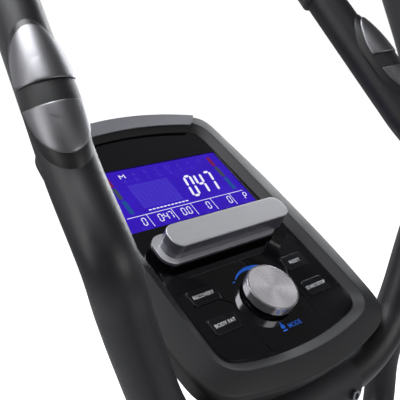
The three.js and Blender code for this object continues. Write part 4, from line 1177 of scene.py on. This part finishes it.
def build_housing():
    face = HOUSING.face
    spots = [(FLYWHEEL[1] + 96, FLYWHEEL[2] + 60), (FLYWHEEL[1] + 30, FLYWHEEL[2] + 100),
             (FLYWHEEL[1] + 40, FLYWHEEL[2] - 110), (CRANK[1] - 60, 120), (CRANK[1] + 190, 375)]
    screw = [(0, 61), (5.2, 61), (5.2, 63), (3, 63.4), (1.6, 62.6), (0, 62.4)]
    ribs = merge(*[tube(at_x(arc(*FLYWHEEL[1:], radius, -0.5, 0.9, 24), face + 0.2), 1.6, 12, 0.8)
                   for radius in (86, 98, 110)])
    on_both_sides(finished, "housing", right_housing(), SHELL)
    on_both_sides(detail, "housing_ribs", ribs, SHELL, "housing")
    for side, sign in SIDES.items():
        for k, (y, z) in enumerate(spots, 1):
            head = lathe_x(screw, y, z, sides=32, radius=0.2)
            detail(f"housing_screw_{side}_{k}", side_of(head, sign), STEEL, f"housing_{side}")
    for node, look, edge in INSIDE_NODES:
        refined(node, look, edge)
    _, y, z = centre_of("power_inlet")
    jack = lathe_x([(2.8, 54), (7, 54), (7, 62.3), (9.5, 62.3), (9.5, 65), (8.6, 66), (4.4, 66), (2.8, 64.6)],
                   y, z, sides=48, radius=0.3, ring=True)
    finished("power_inlet", jack, CAP)
    pin = lathe_x([(0, 56), (1.1, 56), (1.1, 63.4), (0, 64)], y, z, sides=24, radius=0.2)
    detail("power_inlet_pin", pin, STEEL, "power_inlet")


# ------------------------------------------------------------------ cranks, pedal arms and pedals

CRANK_ARM = Sizes(hub=30, tip=23, inner=80, outer=98)
CRANK_PIN = Sizes(radius=8, collar=14, inner=94, collar_outer=122, outer=161)
LINK = Sizes(x=(125, 155), end=26, half=19, bore=8.5)
TREAD = Sizes(pitch=13.0, half=2.6, height=1.6)


def link_outline(y0, y1, z, radius, half):
    lean = math.asin(half / radius)
    return np.concatenate((arc(y0, z, radius, lean, -lean + 2 * math.pi, 40),
                           arc(y1, z, radius, math.pi + lean, 3 * math.pi - lean, 40)))


def build_cranks():
    for side, sign in SIDES.items():
        z = CRANK[2]
        pin_y = CRANK[1] + sign * CRANK_RADIUS
        disc = lathe_x([(10.5, 68), (186, 68), (188, 70), (184, 73), (172, 73.6), (170, 72.6), (158, 73),
                        (156, 74), (62, 76), (58, 74.5), (30, 74.5), (28, 76), (10.5, 76)], CRANK[1], z,
                       sides=144, radius=1.0, ring=True)
        finished(f"crank_disc_{side}", side_of(disc, sign), SHELL)
        blade = belted((CRANK[1], z), CRANK_ARM.hub, (pin_y, z), CRANK_ARM.tip)
        arm = moved(plate([blade], CRANK_ARM.inner, CRANK_ARM.outer, 3.5, 4), ALONG_X)
        start = (CRANK_PIN.inner, pin_y, z)
        collar = rod(start, (CRANK_PIN.collar_outer, pin_y, z), CRANK_PIN.collar, 48, 1.5)
        pin = rod(start, (CRANK_PIN.outer, pin_y, z), CRANK_PIN.radius, 48, 1)
        finished(f"crank_arm_{side}", side_of(united(arm, collar, pin), sign), FRAME_PAINT)
        dome = lathe_x([(0, 104), (9, 103.4), (15, 101), (17, 98.2), (17, 97), (0, 97)], CRANK[1], z,
                       sides=64, radius=1.5)
        detail(f"crank_dome_{side}", side_of(dome, sign), CAP, f"crank_arm_{side}")
        build_pedal_arm(side, sign, pin_y)
        build_pedal(side, sign, pin_y)


def build_pedal_arm(side, sign, pin_y):
    z = CRANK[2]
    front_y = pin_y + LINK_LENGTH
    outlines = [link_outline(pin_y, front_y, z, LINK.end, LINK.half), circle(pin_y, z, LINK.bore)]
    bar = moved(plate(outlines, *LINK.x, 3, 4), ALONG_X)
    finished(f"pedal_arm_{side}", side_of(bar, sign), FRAME_PAINT)
    stud = lathe_x([(0, 150), (12, 150), (12, 176), (0, 176)], front_y, z, sides=48, radius=1)
    detail(f"link_stud_{side}", side_of(stud, sign), STEEL, f"pedal_arm_{side}")
    front = lathe_x([(0, 124.2), (8, 123.4), (17, 124.2), (19, 125.4), (0, 125.4)], front_y, z, sides=64,
                    radius=0.5)
    rear = lathe_x([(9.2, 154.6), (18, 154.6), (16, 157.4), (9.2, 158.2)], pin_y, z, sides=64, radius=0.6,
                   ring=True)
    detail(f"link_covers_{side}", side_of(merge(front, rear), sign), CAP, f"pedal_arm_{side}")


def build_pedal(side, sign, pin_y):
    low, high = box_of(f"pedal_{side}")
    x0, x1 = sorted((abs(low[0]), abs(high[0])))
    floor = low[2] + 8
    outer = rounded_rectangle(x0, x1, low[1], high[1], 30, 16)
    levels = [(6, low[2]), (0, low[2] + 3), (0, high[2]), (-5, high[2]), (-6, floor)]
    rings = [at_height(offset(outer, -abs(inset)), z) for inset, z in levels]
    tray = skin(fillet(rings, [0, 2.5, 1.8, 1.8, 0], 4))
    finished(f"pedal_{side}", side_of(tray, sign), CAP)
    treads = []
    for y in np.arange(low[1] + 24, high[1] - 22, TREAD.pitch):
        margin = 16 + max(0.0, 26 - min(y - low[1], high[1] - y)) * 0.9
        treads.append(slab((x0 + margin, x1 - margin), (y - TREAD.half, y + TREAD.half),
                           (floor - 0.5, floor + TREAD.height), 0.6, 2.4))
    detail(f"pedal_tread_{side}", side_of(merge(*treads), sign), RUBBER, f"pedal_{side}")


# ------------------------------------------------------------------ swing arms and moving handles


HANDLE_RADIUS = 19
HANDLE_GRIP_RADIUS = 19.6
SWING_ARM = Sizes(inner=178, outer=222, middle=200, hub=32, foot=26, socket=23)


def build_swing():
    axle = both_ends([(0, -230), (11, -230), (11, -174), (20, -174)])
    finished("swing_axle", lathe_x(axle, PIVOT[1], PIVOT[2], sides=64, radius=0.8), STEEL)
    for side, sign in SIDES.items():
        place = place_at(PIVOT, sign * SWING)
        inner, outer, middle = SWING_ARM.inner, SWING_ARM.outer, SWING_ARM.middle
        hub, foot = [lathe_x([(0, inner), (radius, inner), (radius, outer), (0, outer)], 0, z, sides=sides,
                             radius=[0, 3, 3, 0])
                     for radius, z, sides in ((SWING_ARM.hub, 0, 72), (SWING_ARM.foot, -LEVER, 64))]
        bar = slab((middle - 14, middle + 14), (-22, 22), (-LEVER, 0), 1, 6)
        socket_top = (middle, HANDLE[0][1] - 2, HANDLE[0][2] - 7)
        socket = rod((middle, 0, 0), socket_top, SWING_ARM.socket, 64, 2.5)
        root = rod((middle, 0, -20), (middle, 6, 30), 20, 48)
        arm = united(hub, foot, bar, root, socket)
        finished(f"swing_arm_{side}", side_of(arm, sign), FRAME_PAINT, place)
        dome = lathe_x([(0, 231.5), (12, 230.6), (21, 226.5), (23, 222.2), (23, 221), (0, 221)], 0, 0,
                       sides=64, radius=2)
        detail(f"pivot_cap_{side}", side_of(dome, sign), CAP, f"swing_arm_{side}", place)
        cover = lathe_x([(0, 228), (9, 227), (17, 224.5), (19, 222.2), (19, 221), (0, 221)], 0, -LEVER,
                        sides=64, radius=1.5)
        detail(f"foot_cap_{side}", side_of(cover, sign), CAP, f"swing_arm_{side}", place)
        path = mirrored(HANDLE, sign)
        handle = tube(curve_through(path[:GRIP_FROM + 1]), HANDLE_RADIUS, 64, 1.5)
        finished(f"moving_handle_{side}", handle, FRAME_PAINT, place, weighted=False)
        foam_tube = tube(curve_through(path[GRIP_FROM:]), HANDLE_GRIP_RADIUS, 64, 2.0)
        grip = finished(f"moving_grip_{side}", foam_tube, GRIP, place, weighted=False)


# ------------------------------------------------------------------ studio


def build_floor():
    size, count = 9.0, 25
    line = np.linspace(-size, size, count)
    vertices = [(x, y, 0.0) for y in line for x in line]
    corners = [row * count + column for row in range(count - 1) for column in range(count - 1)]
    faces = [(c, c + 1, c + count + 1, c + count) for c in corners]
    mesh = bpy.data.meshes.new("floor")
    mesh.from_pydata(vertices, [], faces)
    floor = bpy.data.objects.new("floor", mesh)
    scene.collection.objects.link(floor)
    tree = Tree("studio floor")
    tree.shade_with(Base_Color=(0.82, 0.82, 0.83, 1), Roughness=0.7)
    distance = tree.node("ShaderNodeVectorMath", {0: tree.place}, operation="LENGTH").outputs[1]
    fade = {"Value": distance, "From Min": 0.9, "From Max": 2.1, "To Min": 0.25, "To Max": 1.0}
    spread = tree.node("ShaderNodeMapRange", fade).outputs[0]
    seen = tree.node("ShaderNodeLightPath", {}).outputs["Is Camera Ray"]
    glow = tree.node("ShaderNodeMath", {0: spread, 1: seen}, operation="MULTIPLY").outputs[0]
    tree.shade_with(Emission_Color=(1, 1, 1, 1), Emission_Strength=glow)
    mesh.materials.append(tree.material)


def build_world():
    """White behind everything, and for reflections bright low down ahead of the camera and dark overhead."""
    scene.world = bpy.data.worlds.new("studio")
    tree = Nodes(scene.world)
    direction = tree.node("ShaderNodeTexCoord", {}).outputs["Generated"]

    def ramp(axis, start, end, low, high):
        way = tree.node("ShaderNodeVectorMath", {0: direction, 1: axis}, operation="DOT_PRODUCT")
        ends = {"Value": way.outputs["Value"], "From Min": start, "From Max": end, "To Min": low,
                "To Max": high}
        return tree.node("ShaderNodeMapRange", ends).outputs[0]
    ahead = ramp((*CAMERA_HEADING, 0), -0.6, 0.9, 0.2, 1.0)
    height = ramp((0, 0, 1), 0.22, 0.5, 1.0, 0.1)
    strength = tree.node("ShaderNodeMath", {0: ahead, 1: height}, operation="MULTIPLY").outputs[0]
    around = tree.nodes["Background"]
    tree.feed(around, {"Color": (0.96, 0.97, 1.0, 1), "Strength": strength})
    seen = tree.node("ShaderNodeBackground", {"Color": (1, 1, 1, 1)})
    camera_ray = tree.node("ShaderNodeLightPath", {}).outputs["Is Camera Ray"]
    mix = tree.node("ShaderNodeMixShader", {0: camera_ray, 1: around.outputs[0], 2: seen.outputs[0]})
    tree.feed(tree.nodes["World Output"], {"Surface": mix.outputs[0]})


def area_light(name, at, towards, size, energy, tint=(1, 1, 1)):
    data = bpy.data.lights.new(name, "AREA")
    data.shape = "RECTANGLE"
    data.size, data.size_y = size
    data.energy = energy
    data.color = tint
    light = bpy.data.objects.new(name, data)
    light.location = at
    light.rotation_euler = (Vector(towards) - Vector(at)).to_track_quat("-Z", "Y").to_euler()
    scene.collection.objects.link(light)


def build_lights():
    console = (0, 0.45, 1.35)
    area_light("overhead softbox", (-0.5, 1.0, 3.2), console, (1.6, 1.2), 55, (0.97, 0.98, 1))
    area_light("user softbox", (-0.5, -0.8, 3.2), (-0.1, 0.35, 1.4), (1.1, 1.1), 2)
    area_light("left softbox", (-2.2, 0.8, 2.2), console, (1.0, 1.8), 18)
    area_light("right softbox", (2.0, 1.3, 1.9), console, (0.9, 1.4), 26, (0.95, 0.97, 1))
    area_light("rear softbox", (0.6, -2.6, 2.0), (0, 0, 0.7), (1.8, 1.6), 26)


scene.view_settings.view_transform = "Standard"
for build in (build_bezel, build_rear_shell, build_faceplate, build_accent_strip, build_display, build_ledge,
              build_keys, build_key_fields, build_knob, build_print, build_handlebar, build_mast, build_beam,
              build_stabilisers, build_wheels, build_housing, build_cranks, build_swing, build_floor,
              build_world, build_lights):
    build()
